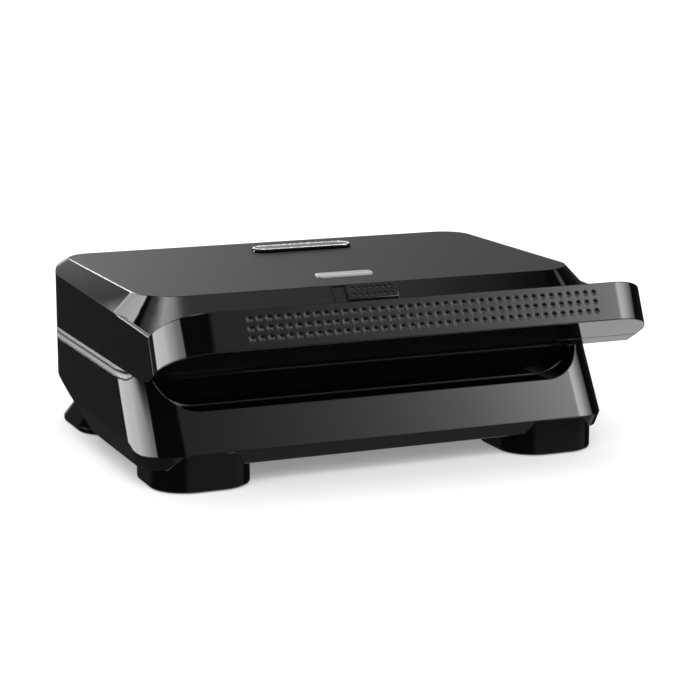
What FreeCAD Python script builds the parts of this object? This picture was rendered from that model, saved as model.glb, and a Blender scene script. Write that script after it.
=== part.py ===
"""Sandwich maker: a hinged two-sandwich contact toaster, built as an assembly of separate pieces.

Frame: +X to the right, +Y to the back, +Z up, origin on the floor under the middle of the object.
All sizes are millimetres.
"""
import FreeCAD, Part
import math
import os
import re

import Sketcher

Vector = FreeCAD.Vector
doc = FreeCAD.newDocument("sandwich_maker")

# Driving sizes.
SIZES = [
    ("wall", 3), ("clearance", 0.3), ("overrun", 6), ("lid_gap", 0.8),
    # Lid: flat top, inclined band round it, upright walls below.
    ("tier_height", 41.2), ("valley_run", 21), ("band_inset", 11), ("side_drop_rear", 6),
    ("side_drop_front", 13), ("band_run", 22), ("band_drop", 26), ("tier_front_corner", 25),
    ("tier_rear_corner", 18), ("rear_corner", 41), ("lid_skin", 4), ("side_edge_share", 0.95),
    ("arm_root_share", 0.75),
    # Handle bar: a wing that rises forwards, with an inclined front face.
    ("nose_rise", 23.6), ("face_height", 20.6), ("face_lean", 8.7), ("handle_depth", 34),
    ("handle_corner", 27), ("handle_wall", 3.5), ("underside_run", 37.5), ("root_rise", 2.5),
    ("root_run", 13.5), ("groove_margin", 53), ("groove_rise", 17), ("groove_lip", 3),
    # Base housing: front face leaning out, recess under the handle, bevels round the bottom.
    ("base_bottom_z", 13.5), ("base_height", 52.5), ("base_setback", 43.5), ("base_lean", 31.5),
    ("base_corner", 25), ("side_bevel", 3), ("side_bevel_height", 13), ("front_bevel", 9),
    ("front_bevel_height", 8.5), ("rear_bevel", 34), ("rear_bevel_height", 24.5),
    ("bevel_front_corner", 22), ("bevel_rear_corner", 70),
    ("recess_margin", 13), ("recess_drop", 22.3), ("recess_corner", 27), ("recess_inset", 4),
    ("rail_width", 3.5), ("rail_height", 3),
    # Feet and their pads.
    ("foot_margin", 9.5), ("foot_width", 59.3), ("front_foot_length", 64), ("foot_setback", 4),
    ("rear_foot_length", 73), ("foot_overhang", 7), ("foot_corner", 22), ("foot_lift", 0.5),
    ("foot_bury", 8.5), ("foot_edge", 1.5), ("heel_z", 4), ("heel_inset", 14), ("pad_height", 1.5),
    ("pad_margin", 8),
    # Bottom cover.
    ("floor_thick", 2.5), ("vent_length", 70), ("vent_width", 4),
    ("vent_pitch", 11), ("vent_count", 7),
    # Cooking plates, their frames and reflector pans.
    ("plate_rim", 10), ("frame_side", 19), ("frame_front", 9), ("frame_rear", 15), ("plate_corner", 9),
    ("flange", 4), ("lip_width", 4), ("lip_thick", 2), ("pocket_width", 112), ("pocket_length", 132),
    ("pocket_depth", 13), ("pocket_wall", 3), ("pocket_slope", 9), ("pocket_corner", 7),
    ("divider", 12), ("ridge", 8), ("pan_margin", 1.5), ("pan_depth", 19), ("pan_sheet", 1),
    # Heating elements and their controls.
    ("heater_radius", 3.3), ("heater_side", 33), ("heater_margin", 29), ("heater_bend", 15),
    ("heater_tail", 22), ("heater_out", 4), ("stat_x_share", 0.232), ("stat_y_share", 0.333),
    ("stat_radius", 8.5), ("stat_height", 5), ("stat_cap_radius", 6),
    ("tab_width", 5), ("tab_length", 8), ("tab_thick", 0.8), ("fuse_radius", 2), ("fuse_length", 16),
    ("lead_radius", 0.6), ("lead_length", 8), ("fuse_setback", 53), ("block_offset", 20), ("block_width", 36),
    ("block_setback", 60), ("block_depth", 18), ("block_height", 12), ("block_bore", 2.6),
    # Hinges at the rear.
    ("hinge_reach", 9), ("hinge_margin", 55), ("eye_radius", 4.2), ("pin_radius", 2), ("pin_fit", 0.02),
    ("eye_fit", 0.06), ("eye_width", 15), ("ear_thick", 5), ("ear_drop", 18), ("foot_plate", 3),
    ("bracket_height", 16), ("arm_height", 26), ("arm_plate", 3), ("arm_neck", 9),
    # Trim beads along both sides of the parting plane.
    ("bead_height", 2.7), ("bead_thick", 2.6), ("notch_drop", 6), ("notch_reach", 12),
    ("notch_setback", 8), ("notch_end", 34), ("bead_turn", 6), ("bead_end_gap", 1.8),
    # Latch slider in its track on the front band.
    ("latch_x", -1.7), ("latch_width", 31.7), ("latch_height", 10.2), ("latch_setback", 6.2),
    ("latch_travel", 8), ("track_depth", 1.2), ("knob_rise", 1.7), ("knob_edge", 0.7),
    ("neck_width", 14), ("neck_height", 4), ("carrier_width", 30),
    ("carrier_thick", 2), ("arm_gap", 3.4), ("arm_thick", 2.6), ("arm_width", 10),
    ("arm_bridge", 3), ("hook_reach", 9), ("hook_toe", 4), ("hook_height", 3),
    ("hook_room", 1.2),
    # Lens, plaque and lamp board on the lid.
    ("lens_x", -5), ("lens_setback", 30), ("lens_width", 36), ("lens_depth", 9), ("lens_height", 3),
    ("lens_corner", 3), ("lens_edge", 1.2), ("stem_width", 24), ("stem_depth", 4), ("stem_length", 5),
    ("plaque_x", 10), ("plaque_setback", 37), ("plaque_width", 67), ("plaque_depth", 16),
    ("plaque_height", 2.4), ("plaque_round_share", 0.48), ("plaque_edge", 0.8),
    ("board_width", 40), ("board_depth", 16), ("board_thick", 1.6), ("lamp_radius", 2.5),
    ("lamp_height", 2), ("post_radius", 2.5),
    # Cord gland in the rear wall.
    ("gland_margin", 90), ("gland_drop", 16), ("gland_radius", 6.8), ("gland_flange", 9.5),
    ("gland_flange_thick", 3), ("gland_inside", 4), ("gland_bore", 3.6),
]

# Places that follow from the driving sizes.
PLACES = [
    # The pockets set the plates, and the plates set the width and depth of the body.
    ("plate_width", "2 * (pocket_width + plate_rim) + divider"),
    ("plate_depth", "pocket_length + 2 * plate_rim"),
    ("body_width", "plate_width + 2 * (frame_side + wall)"),
    ("half_width", "body_width / 2"),
    ("front_run", "base_setback + base_lean + recess_inset + wall + frame_front"),
    ("overall_depth", "front_run + plate_depth + frame_rear + wall + hinge_reach"),
    ("front_y", "-overall_depth / 2"),
    ("rear_y", "overall_depth / 2 - hinge_reach"),
    ("plate_front_y", "front_y + front_run"),
    ("plate_back_y", "plate_front_y + plate_depth"),
    ("plate_y", "plate_front_y + plate_depth / 2"),
    ("rim_z", "base_bottom_z + base_height"),
    ("lid_bottom_z", "rim_z + lid_gap"),
    ("mirror_z", "rim_z + lid_gap / 2"),
    ("lid_top_z", "lid_bottom_z + tier_height"),
    ("top_half", "half_width - band_inset"),
    ("top_back_y", "rear_y - band_inset"),
    ("valley_y", "front_y + handle_depth + valley_run"),
    ("valley_z", "lid_top_z - band_drop"),
    ("top_front_y", "valley_y + band_run"),
    ("lower_front_y", "top_front_y - band_run * tier_height / band_drop"),
    ("flare_drop", "tier_height + overrun"),
    ("flare", "band_inset * flare_drop / side_drop_front"),
    ("flare_front_y", "top_front_y - band_run * flare_drop / band_drop"),
    ("flare_back_y", "top_back_y + flare"),
    ("flare_rise", "flare_drop * (1 - side_drop_rear / side_drop_front)"),
    ("flare_slope", "flare_rise / (flare_back_y - flare_front_y)"),
    ("flare_stretch", "sqrt(1 + flare_slope * flare_slope)"),
    ("grip_y", "front_y + face_lean"),
    ("nose_z", "lid_bottom_z + nose_rise"),
    ("grip_z", "nose_z + face_height"),
    ("wing_slope", "(grip_z - valley_z) / (valley_y - grip_y)"),
    ("face_slope", "face_lean / face_height"),
    ("root_y", "front_y + underside_run"),
    ("root_z", "lid_bottom_z + root_rise"),
    ("under_slope", "(nose_z - root_z) / underside_run"),
    ("seam_top_y", "grip_y + handle_depth / (1 + wing_slope * face_slope)"),
    ("seam_top_z", "grip_z - wing_slope * (seam_top_y - grip_y)"),
    ("base_front_y", "front_y + base_setback"),
    ("lean_slope", "base_lean / base_height"),
    ("lean_factor", "sqrt(1 + lean_slope * lean_slope)"),
    ("bevel_rise", "rear_bevel_height + overrun"),
    ("side_spread", "bevel_rise * side_bevel / side_bevel_height"),
    ("front_spread", "bevel_rise * (front_bevel / front_bevel_height - lean_slope)"),
    ("rear_slope", "rear_bevel / rear_bevel_height"),
    ("rear_factor", "sqrt(1 + rear_slope * rear_slope)"),
    ("recess_y", "base_front_y + base_lean + recess_inset"),
    ("recess_floor_z", "rim_z - recess_drop"),
    ("foot_top_z", "base_bottom_z + foot_bury"),
    ("foot_outer_x", "half_width - foot_margin"),
    ("frame_depth", "flange + lip_thick"),
    ("frame_z", "rim_z - frame_depth"),
    ("frame_front_y", "recess_y + wall"),
    ("pocket_floor_z", "rim_z - pocket_depth - pocket_wall"),
    ("pan_z", "frame_z - pan_depth"),
    ("heater_z", "pocket_floor_z - heater_radius"),
    ("heater_half", "plate_width / 2 - heater_side"),
    ("heater_reach", "plate_depth / 2 - heater_margin"),
    ("stat_x", "divider / 2 + pocket_width * stat_x_share"),
    ("stat_y", "plate_front_y + plate_rim + pocket_length * stat_y_share"),
    ("fuse_y", "plate_back_y - fuse_setback"),
    ("gland_x", "half_width - gland_margin"),
    ("gland_z", "rim_z - gland_drop"),
    ("block_x", "gland_x - block_offset"),
    ("block_y", "rear_y - block_setback"),
    ("notch_z", "rim_z - notch_drop"),
    ("notch_front_y", "base_front_y + base_lean + notch_setback"),
    ("notch_back_y", "rear_y - notch_end"),
    ("hinge_x", "half_width - hinge_margin"),
    ("hinge_y", "rear_y + hinge_reach / 2"),
    ("hinge_z", "lid_bottom_z"),
    ("pin_length", "eye_width + 2 * clearance + 2 * ear_thick"),
    ("band_length", "sqrt(band_run * band_run + band_drop * band_drop)"),
    ("latch_y", "top_front_y - latch_setback * band_run / band_length"),
    ("latch_z", "lid_top_z - latch_setback * band_drop / band_length"),
    ("band_skin", "lid_skin * band_run / band_length"),
    ("carrier_drop", "lid_skin + clearance - (band_skin + clearance) * band_run / band_length"),
    ("carrier_height", "2 * (latch_setback - carrier_drop * band_length / band_drop)"),
    ("arm_bridge_z", "latch_z - carrier_height"),
    ("arm_back_y", "plate_front_y - arm_gap"),
    ("hook_front_y", "arm_back_y - arm_thick"),
    ("hook_tip_z", "rim_z - hook_reach"),
    ("lens_y", "top_front_y + lens_setback"),
    ("plaque_y", "top_back_y - plaque_setback"),
    ("board_z", "lid_top_z - stem_length - lamp_height"),
]

sizes = doc.addObject("Spreadsheet::Sheet", "sizes")
places = doc.addObject("Spreadsheet::Sheet", "places")
SHEET_OF = {}
PIECES = {}


def bound(formula):
    """The formula with each size or place led back to its sheet."""
    return re.sub(
        r"[a-z][a-z_]*",
        lambda word: f"{SHEET_OF[word[0]]}.{word[0]}" if word[0] in SHEET_OF else word[0],
        str(formula),
    )


def fill_sheets():
    for row, (alias, value) in enumerate(SIZES, start=1):
        sizes.set(f"A{row}", alias)
        sizes.set(f"B{row}", str(value))
        sizes.setAlias(f"B{row}", alias)
        SHEET_OF[alias] = sizes.Name
    for row, (alias, formula) in enumerate(PLACES, start=1):
        places.set(f"A{row}", alias)
        places.set(f"B{row}", "=" + bound(formula))
        places.setAlias(f"B{row}", alias)
        SHEET_OF[alias] = places.Name
    doc.recompute()


def number(formula):
    return float(sizes.evalExpression(bound(formula)))


def bind(item, formulas):
    for path, formula in formulas.items():
        item.setExpression(path, bound(formula))


def keep(label, item):
    """Name a finished sub-part."""
    item.Label = label
    PIECES[label] = item
    return item


# Sketches and features.

def new_body(name):
    return doc.addObject("PartDesign::Body", name)


def tilted(slope):
    """Turn about the X axis that gives the stated slope towards the back."""
    return FreeCAD.Placement(Vector(), FreeCAD.Rotation(Vector(1, 0, 0), number(f"atan({slope})")))


def arc_between(begin, end, radius):
    """Short arc from begin to end: a positive radius turns left, a negative one right."""
    chord = end - begin
    left = Vector(-chord.y, chord.x, 0).normalize()
    reach = math.sqrt(max(radius * radius - chord.Length ** 2 / 4, 0))
    centre = (begin + end) * 0.5 + left * math.copysign(reach, radius)
    first, last = (begin, end) if radius > 0 else (end, begin)
    angles = [math.atan2(p.y - centre.y, p.x - centre.x) for p in (first, last)]
    if angles[1] < angles[0]:
        angles[1] += 2 * math.pi
    circle = Part.Circle(centre, Vector(0, 0, 1), abs(radius))
    return Part.ArcOfCircle(circle, angles[0], angles[1])


def profile(body, plane, points, level="0", slope=None):
    """Sketch through points given as formulas; a third value bends the stretch that ends there."""
    sketch = body.newObject("Sketcher::SketchObject", body.Name + "_profile")
    support = [item for item in body.Origin.OriginFeatures if item.Role == plane]
    sketch.AttachmentSupport = [(support[0], "")]
    sketch.MapMode = "FlatFace"
    bind(sketch, {"AttachmentOffset.Base.z": level})
    if slope:
        sketch.AttachmentOffset = tilted(slope)
        bind(sketch, {"AttachmentOffset.Rotation.Angle": f"atan({slope})"})
    corners = [Vector(number(point[0]), number(point[1]), 0) for point in points]
    count = len(points)
    ends = []
    for index in range(count):
        after = (index + 1) % count
        bend = points[after][2] if len(points[after]) > 2 else None
        if bend is None:
            sketch.addGeometry(Part.LineSegment(corners[index], corners[after]), False)
            ends.append((1, 2))
            continue
        radius = number(bend)
        sketch.addGeometry(arc_between(corners[index], corners[after], radius), False)
        ends.append((1, 2) if radius > 0 else (2, 1))
        rule = sketch.addConstraint(Sketcher.Constraint("Radius", index, abs(radius)))
        sketch.renameConstraint(rule, f"bend{index}")
        bind(sketch, {f"Constraints.bend{index}": f"abs({bend})"})
    for index in range(count):
        after = (index + 1) % count
        sketch.addConstraint(Sketcher.Constraint("Coincident", index, ends[index][1], after, ends[after][0]))
    for index, point in enumerate(points):
        for axis, name, value in (("DistanceX", "across", 0), ("DistanceY", "along", 1)):
            rule = Sketcher.Constraint(axis, -1, 1, index, ends[index][0], corners[index][value])
            rule = sketch.addConstraint(rule)
            sketch.renameConstraint(rule, f"{name}{index}")
            bind(sketch, {f"Constraints.{name}{index}": point[value]})
    return sketch


def rectangle(left, right, front, back):
    return [(left, front), (right, front), (right, back), (left, back)]


def rounded(left, right, front, back, corner, back_corner=None):
    """Rectangle outline with round corners."""
    left, right, front, back, near, far = (
        f"({value})" for value in (left, right, front, back, corner, back_corner or corner))
    return [
        (f"{left} + {near}", front, near), (f"{right} - {near}", front),
        (right, f"{front} + {near}", near), (right, f"{back} - {far}"),
        (f"{right} - {far}", back, far), (f"{left} + {far}", back),
        (left, f"{back} - {far}", far), (left, f"{front} + {near}"),
    ]


def pad(body, sketch, length, symmetric=False, backwards=False):
    feature = body.newObject("PartDesign::Pad", body.Name + "_pad")
    feature.Profile = sketch
    feature.SideType = "Symmetric" if symmetric else "One side"
    feature.Reversed = backwards
    bind(feature, {"Length": length})
    return feature


def pocket(body, sketch, depth, backwards=False):
    feature = body.newObject("PartDesign::Pocket", body.Name + "_pocket")
    feature.Profile = sketch
    feature.Reversed = backwards
    bind(feature, {"Length": depth})
    return feature


def loft(body, first, second):
    feature = body.newObject("PartDesign::AdditiveLoft", body.Name + "_loft")
    feature.Profile = first
    feature.Sections = [second]
    feature.Ruled = True
    return feature


def edges_of(feature, wanted):
    doc.recompute()
    found = [f"Edge{i}" for i, edge in enumerate(feature.Shape.Edges, start=1) if wanted(edge)]
    if not found:
        raise ValueError("no edge found on " + feature.Name)
    return found


def fillet(body, feature, radius, wanted):
    result = body.newObject("PartDesign::Fillet", body.Name + "_fillet")
    result.Base = (feature, edges_of(feature, wanted))
    bind(result, {"Radius": radius})
    return result


def direction(edge):
    run = edge.Vertexes[-1].Point - edge.Vertexes[0].Point
    return run.normalize() if run.Length > 0 else run


def is_upright(edge):
    return abs(direction(edge).z) > 0.5


def lies_at(edge, level):
    box = edge.BoundBox
    return abs(box.ZMin - level) < 1e-4 and abs(box.ZMax - level) < 1e-4


# Primitives and booleans.

def place(item, start):
    bind(item, dict(zip(("Placement.Base.x", "Placement.Base.y", "Placement.Base.z"), start)))
    return item


def box(name, start, size):
    item = doc.addObject("Part::Box", name)
    bind(item, dict(zip(("Length", "Width", "Height"), size)))
    return place(item, start)


QUARTER = 90
TURNS = {
    "X": FreeCAD.Rotation(Vector(0, 1, 0), QUARTER),
    "Y": FreeCAD.Rotation(Vector(1, 0, 0), -QUARTER),
    "Z": FreeCAD.Rotation(),
}


def cylinder(name, start, radius, length, axis="Z"):
    item = doc.addObject("Part::Cylinder", name)
    item.Placement = FreeCAD.Placement(Vector(), TURNS[axis])
    bind(item, {"Radius": radius, "Height": length})
    return place(item, start)


def fuse(name, *items):
    item = doc.addObject("Part::MultiFuse", name)
    item.Shapes = list(items)
    item.Refine = True
    return item


def cut(name, base, *tools):
    for index, tool in enumerate(tools):
        item = doc.addObject("Part::Cut", f"{name}_{index}")
        item.Base = base
        item.Tool = tool
        item.Refine = True
        base = item
    return base


def common(name, first, second):
    item = doc.addObject("Part::Common", name)
    item.Base = first
    item.Tool = second
    item.Refine = True
    return item


def mirrored(label, source, base, normal):
    item = doc.addObject("Part::Mirroring", label)
    item.Source = source
    item.Normal = normal
    bind(item, {"Base.z": base})
    return keep(label, item)


# Base.

def opening(inset):
    """Outline of the bottom of the base, or the same outline drawn in by a wall."""
    half = f"(half_width - side_bevel - {inset})"
    front = f"base_front_y + front_bevel + {inset} * lean_factor"
    back = f"rear_y - rear_bevel - {inset} * rear_factor"
    return f"-{half}", half, front, back, f"bevel_front_corner - {inset}", f"bevel_rear_corner - {inset}"


def bevel_form(name, inset):
    """Form that flares upwards from the bottom outline and bevels the lower edges of the base."""
    body = new_body(name)
    left, right, front, back, corner, _ = opening(inset)
    bottom = profile(body, "XY_Plane", rounded(*opening(inset)), level="base_bottom_z")
    wide = rounded(f"{left} - side_spread", f"{right} + side_spread", f"{front} - front_spread",
                   f"{back} + bevel_rise * rear_slope", f"{corner} + side_spread", f"rear_corner - {inset}")
    top = profile(body, "XY_Plane", wide, level="base_bottom_z + bevel_rise")
    loft(body, bottom, top)
    upper = profile(body, "XY_Plane", wide, level="base_bottom_z + bevel_rise")
    doc.recompute()
    pad(body, upper, "base_height")
    return body


def base_form(name, inset, top):
    """Outer form of the base up to a level, or the same form drawn in by a wall."""
    body = new_body(name + "_block")
    lean = f"lean_slope * ({top} - base_bottom_z)"
    foot_y = f"base_front_y + {inset} * lean_factor"
    back_y = f"rear_y - {inset}"
    side = profile(body, "YZ_Plane", [
        (foot_y, "base_bottom_z"), (back_y, "base_bottom_z"), (back_y, top), (f"{foot_y} + {lean}", top),
    ])
    block = pad(body, side, f"body_width - 2 * {inset}", symmetric=True)
    middle = number("(base_front_y + rear_y) / 2")
    front = fillet(body, block, f"base_corner - {inset}",
                   lambda edge: is_upright(edge) and edge.CenterOfMass.y < middle)
    fillet(body, front, f"rear_corner - {inset}",
           lambda edge: is_upright(edge) and edge.CenterOfMass.y > number("rear_y - wall - clearance"))
    return common(name, body, bevel_form(name + "_bevels", inset))


def recess_form(name, growth):
    """Finger recess in the front of the base, a wide U seen from the front."""
    body = new_body(name)
    side = f"(half_width - recess_margin + {growth})"
    bottom = f"(recess_floor_z - {growth})"
    top = "rim_z + overrun"
    bend = f"(recess_corner + {growth})"
    sketch = profile(body, "XZ_Plane", [
        (f"-{side}", top), (f"-{side}", f"{bottom} + {bend}"), (f"-{side} + {bend}", bottom, bend),
        (f"{side} - {bend}", bottom), (side, f"{bottom} + {bend}", bend), (side, top),
    ], level=f"-(recess_y + {growth})")
    pad(body, sketch, "base_setback + overall_depth / 2")
    return body


def build_base_housing(base_outer):
    cavity = base_form("base_cavity", "wall", "(rim_z + overrun)")
    room = cut("base_room", cavity, recess_form("recess_grown", "wall"))
    shell = cut("base_shell", base_outer, room, recess_form("recess", "0"))
    rails = []
    for name, start in (("left", "-half_width + wall"), ("right", "half_width - wall - rail_width")):
        rails.append(box(f"rail_{name}", (start, "frame_front_y + base_corner", "frame_z - rail_height"),
                         ("rail_width", "notch_back_y - frame_front_y - base_corner", "rail_height")))
    notches = [notch_form(f"notch_{side}", start) for side, start in SIDE_STARTS]
    port = cylinder("gland_port", ("gland_x", "rear_y - wall - overrun", "gland_z"),
                    "gland_radius", "wall + 2 * overrun", "Y")
    keep("base_housing", cut("housing", fuse("shell_with_rails", shell, *rails), *notches, port))


def build_base_floor():
    body = new_body("base_floor")
    outline = profile(body, "XY_Plane", rounded(*opening("wall")), level="base_bottom_z")
    sheet = pad(body, outline, "floor_thick")
    start = "plate_y - vent_pitch * (vent_count - 1) / 2"
    slot = profile(body, "XY_Plane", rectangle(
        "-vent_length / 2", "vent_length / 2", start, f"{start} + vent_width",
    ), level="base_bottom_z - overrun")
    doc.recompute()
    vent = pocket(body, slot, "floor_thick + 2 * overrun", backwards=True)
    row = body.newObject("PartDesign::LinearPattern", "vent_row")
    row.Originals = [vent]
    row.Direction = ([f for f in body.Origin.OriginFeatures if f.Role == "Y_Axis"][0], [""])
    bind(row, {"Length": "vent_pitch * (vent_count - 1)", "Occurrences": "vent_count"})
    body.Tip = row
    doc.recompute()
    if not row.Shape.Volume < sheet.Shape.Volume:
        raise ValueError("the vents cut nothing")
    keep("base_floor", body)


def build_feet(base_outer):
    """Four feet with rubber pads; the rear ones reach out behind the base as low sloping heels."""
    near, far = "base_front_y + foot_setback", "rear_y + foot_overhang"
    spots = {
        "front": (near, f"{near} + front_foot_length", "foot_top_z"),
        "rear": (f"{far} - rear_foot_length", far, "heel_z"),
    }
    sides = {
        "left": ("-foot_outer_x", "-foot_outer_x + foot_width"),
        "right": ("foot_outer_x - foot_width", "foot_outer_x"),
    }
    level = number("foot_lift")
    for row, (front, back, top) in spots.items():
        for side, (left, right) in sides.items():
            label = f"{row}_{side}_foot"
            block = new_body(label + "_block")
            outline = rounded(left, right, front, back, "foot_corner")
            column = pad(block, profile(block, "XY_Plane", outline, level="foot_lift"), f"{top} - foot_lift")
            fillet(block, column, "foot_edge", lambda edge: lies_at(edge, level))
            if row == "rear":
                crown = inner_outline(left, right, front, back, "heel_inset")
                loft(block, profile(block, "XY_Plane", outline, level=top),
                     profile(block, "XY_Plane", crown, level="foot_top_z"))
            sole = new_body(label + "_pad")
            pad(sole, profile(sole, "XY_Plane", inner_outline(left, right, front, back, "pad_margin")),
                "pad_height")
            keep(label, cut(label, block, base_outer, sole))
            keep(label + "_pad", sole)


def inner_outline(left, right, front, back, margin):
    """Outline of a foot drawn in by a margin."""
    return rounded(f"{left} + {margin}", f"{right} - {margin}", f"{front} + {margin}", f"{back} - {margin}",
                   f"foot_corner - {margin}")


def frame_ring(name, front, corner, upward):
    """Ring that carries a cooking plate on an inner lip."""
    body = new_body(name)
    level = "lid_bottom_z" if upward else "rim_z"
    outline = profile(body, "XY_Plane", rectangle(
        "-half_width + wall", "half_width - wall", front, "rear_y - wall"), level=level)
    ring = pad(body, outline, "frame_depth", backwards=not upward)
    rear = number("rear_y - wall - clearance")
    ring = fillet(body, ring, "rear_corner - wall",
                  lambda edge: is_upright(edge) and edge.CenterOfMass.y > rear)
    ring = fillet(body, ring, corner,
                  lambda edge: is_upright(edge) and edge.CenterOfMass.y < number("plate_front_y"))
    half = "plate_width / 2"
    seat = profile(body, "XY_Plane", rounded(
        f"-{half} - clearance", f"{half} + clearance", "plate_front_y - clearance",
        "plate_back_y + clearance", "plate_corner"), level=level)
    doc.recompute()
    pocket(body, seat, "flange", backwards=upward)
    hole = profile(body, "XY_Plane", rounded(
        f"-{half} + lip_width", f"{half} - lip_width", "plate_front_y + lip_width",
        "plate_back_y - lip_width", "plate_corner"), level=level)
    doc.recompute()
    pocket(body, hole, "frame_depth + overrun", backwards=upward)
    return body


def hook_window(name, level):
    """Room for the latch hook through a frame, over the whole travel of the slider."""
    left = "latch_x - arm_width / 2 - latch_travel - hook_room"
    return box(name, (left, "hook_front_y - hook_room", level),
               ("arm_width + hook_toe + latch_travel + 2 * hook_room", "arm_thick + 2 * hook_room",
                "frame_depth + 2 * overrun"))


def pocket_form(name, side, turn, grow):
    """Tapered triangular pocket: side picks the compartment, turn the half beyond its diagonal."""
    body = new_body(name)
    slant = "sqrt(pocket_width * pocket_width + pocket_length * pocket_length)"
    leg_x = f"(pocket_width - ridge / 2 * {slant} / pocket_length)"
    leg_y = f"(pocket_length - ridge / 2 * {slant} / pocket_width)"
    long = f"sqrt({leg_x} * {leg_x} + {leg_y} * {leg_y})"

    def triangle(inset):
        shrink = f"(1 - {inset} * {long} / ({leg_x} * {leg_y}))"
        tip_x = f"({leg_x} * ({shrink} - {inset} / {leg_y}))"
        tip_y = f"({leg_y} * ({shrink} - {inset} / {leg_x}))"
        corners = [(inset, inset), (tip_x, inset), (inset, tip_y)]
        middle_x = f"{side} * (divider / 2 + pocket_width / 2)"
        return [(f"{middle_x} + {side} * {turn} * ({x} - pocket_width / 2)",
                 f"plate_y + {turn} * ({y} - pocket_length / 2)") for x, y in corners]

    mouth = "rim_z" if grow == "0" else "rim_z - flange / 2"
    floor = f"rim_z - pocket_depth - {grow}"
    top = profile(body, "XY_Plane", triangle(f"(-{grow})"), level=mouth)
    bottom = profile(body, "XY_Plane", triangle(f"(pocket_slope - {grow})"), level=floor)
    bowl = loft(body, top, bottom)
    bowl = fillet(body, bowl, "pocket_corner", is_upright)
    depth = number(floor)
    fillet(body, bowl, "pocket_corner / 2", lambda edge: lies_at(edge, depth))
    return body


def build_plate():
    """Lower cooking plate: a flat flange with four pressed triangular pockets."""
    flange_body = new_body("plate_flange")
    outline = profile(flange_body, "XY_Plane", rounded(
        "-plate_width / 2", "plate_width / 2", "plate_front_y", "plate_back_y", "plate_corner"),
        level="rim_z")
    pad(flange_body, outline, "flange", backwards=True)
    bowls = []
    hollows = []
    for side, side_name in (("1", "right"), ("-1", "left")):
        for turn, turn_name in (("1", "front"), ("-1", "back")):
            bowls.append(pocket_form(f"bowl_{side_name}_{turn_name}", side, turn, "pocket_wall"))
            hollows.append(pocket_form(f"hollow_{side_name}_{turn_name}", side, turn, "0"))
    solid = fuse("plate_solid", flange_body, *bowls)
    return keep("lower_plate", cut("lower_plate", solid, fuse("pocket_hollows", *hollows)))


def build_heater():
    """Tubular element: an open loop below the pockets, with both tails leaving at the rear."""
    half, bend, tail = "heater_half", "heater_bend", "heater_tail"
    front, back = "(plate_y - heater_reach)", "(plate_y + heater_reach)"
    across = f"{half} - {tail} - 2 * {bend}"
    along = f"{back} - {front} - 2 * {bend}"
    out = f"heater_margin + heater_out - {bend}"
    straights = [
        (f"-{half} + {bend}", front, f"2 * ({half} - {bend})", "X"),
        (f"-{half} + {bend}", back, across, "X"), (f"{tail} + {bend}", back, across, "X"),
        (f"-{half}", f"{front} + {bend}", along, "Y"), (half, f"{front} + {bend}", along, "Y"),
        (f"-{tail}", f"{back} + {bend}", out, "Y"), (tail, f"{back} + {bend}", out, "Y"),
    ]
    turns = [
        (f"{half} - {bend}", f"{back} - {bend}", 0), (f"-{half} + {bend}", f"{back} - {bend}", 1),
        (f"-{half} + {bend}", f"{front} + {bend}", 2), (f"{half} - {bend}", f"{front} + {bend}", 3),
        (f"-{tail} - {bend}", f"{back} + {bend}", 3), (f"{tail} + {bend}", f"{back} + {bend}", 2),
    ]
    pieces = [cylinder(f"heater_run_{index}", (x, y, "heater_z"), "heater_radius", length, axis)
              for index, (x, y, length, axis) in enumerate(straights)]
    for index, (x, y, quarter) in enumerate(turns):
        item = doc.addObject("Part::Torus", f"heater_bend_{index}")
        item.Angle3 = QUARTER
        item.Placement = FreeCAD.Placement(Vector(), FreeCAD.Rotation(Vector(0, 0, 1), QUARTER * quarter))
        bind(item, {"Radius1": bend, "Radius2": "heater_radius"})
        pieces.append(place(item, (x, y, "heater_z")))
    return keep("lower_heater", fuse("lower_heater", *pieces))


def build_pan():
    """Reflector pan hung under the frame, with two holes for the tails of the element."""
    half = "(plate_width / 2 - pan_margin)"
    front, back = "(plate_front_y + pan_margin)", "(plate_back_y - pan_margin)"
    tray = box("pan_block", (f"-{half}", front, "pan_z"), (f"2 * {half}", f"{back} - {front}", "pan_depth"))
    inside = box("pan_inside", (f"-{half} + pan_sheet", f"{front} + pan_sheet", "pan_z + pan_sheet"),
                 (f"2 * ({half} - pan_sheet)", f"{back} - {front} - 2 * pan_sheet", "pan_depth"))
    holes = []
    for name, side in (("left", "-heater_tail"), ("right", "heater_tail")):
        holes.append(cylinder(f"pan_hole_{name}", (side, f"{back} - overrun", "heater_z"),
                              "heater_radius + clearance", "2 * overrun", "Y"))
    return keep("lower_reflector", cut("lower_reflector", tray, inside, *holes))


def build_thermostat():
    """Disc thermostat between the reflector pan and a pocket floor, with two flat tabs."""
    stand = "pan_z + pan_sheet"
    can = cylinder("stat_can", ("stat_x", "stat_y", stand), "stat_radius", "stat_height")
    cap = cylinder("stat_cap", ("stat_x", "stat_y", stand), "stat_cap_radius",
                   "pocket_floor_z - pan_z - pan_sheet")
    tabs = []
    for name, start in (("left", "-stat_radius - tab_length"), ("right", "stat_radius - tab_thick")):
        tabs.append(box(f"stat_tab_{name}", (f"stat_x + {start}", "stat_y - tab_width / 2",
                                            f"{stand} + stat_height / 2"),
                        ("tab_length + tab_thick", "tab_width", "tab_thick")))
    return keep("lower_thermostat", fuse("lower_thermostat", can, cap, *tabs))


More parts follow.
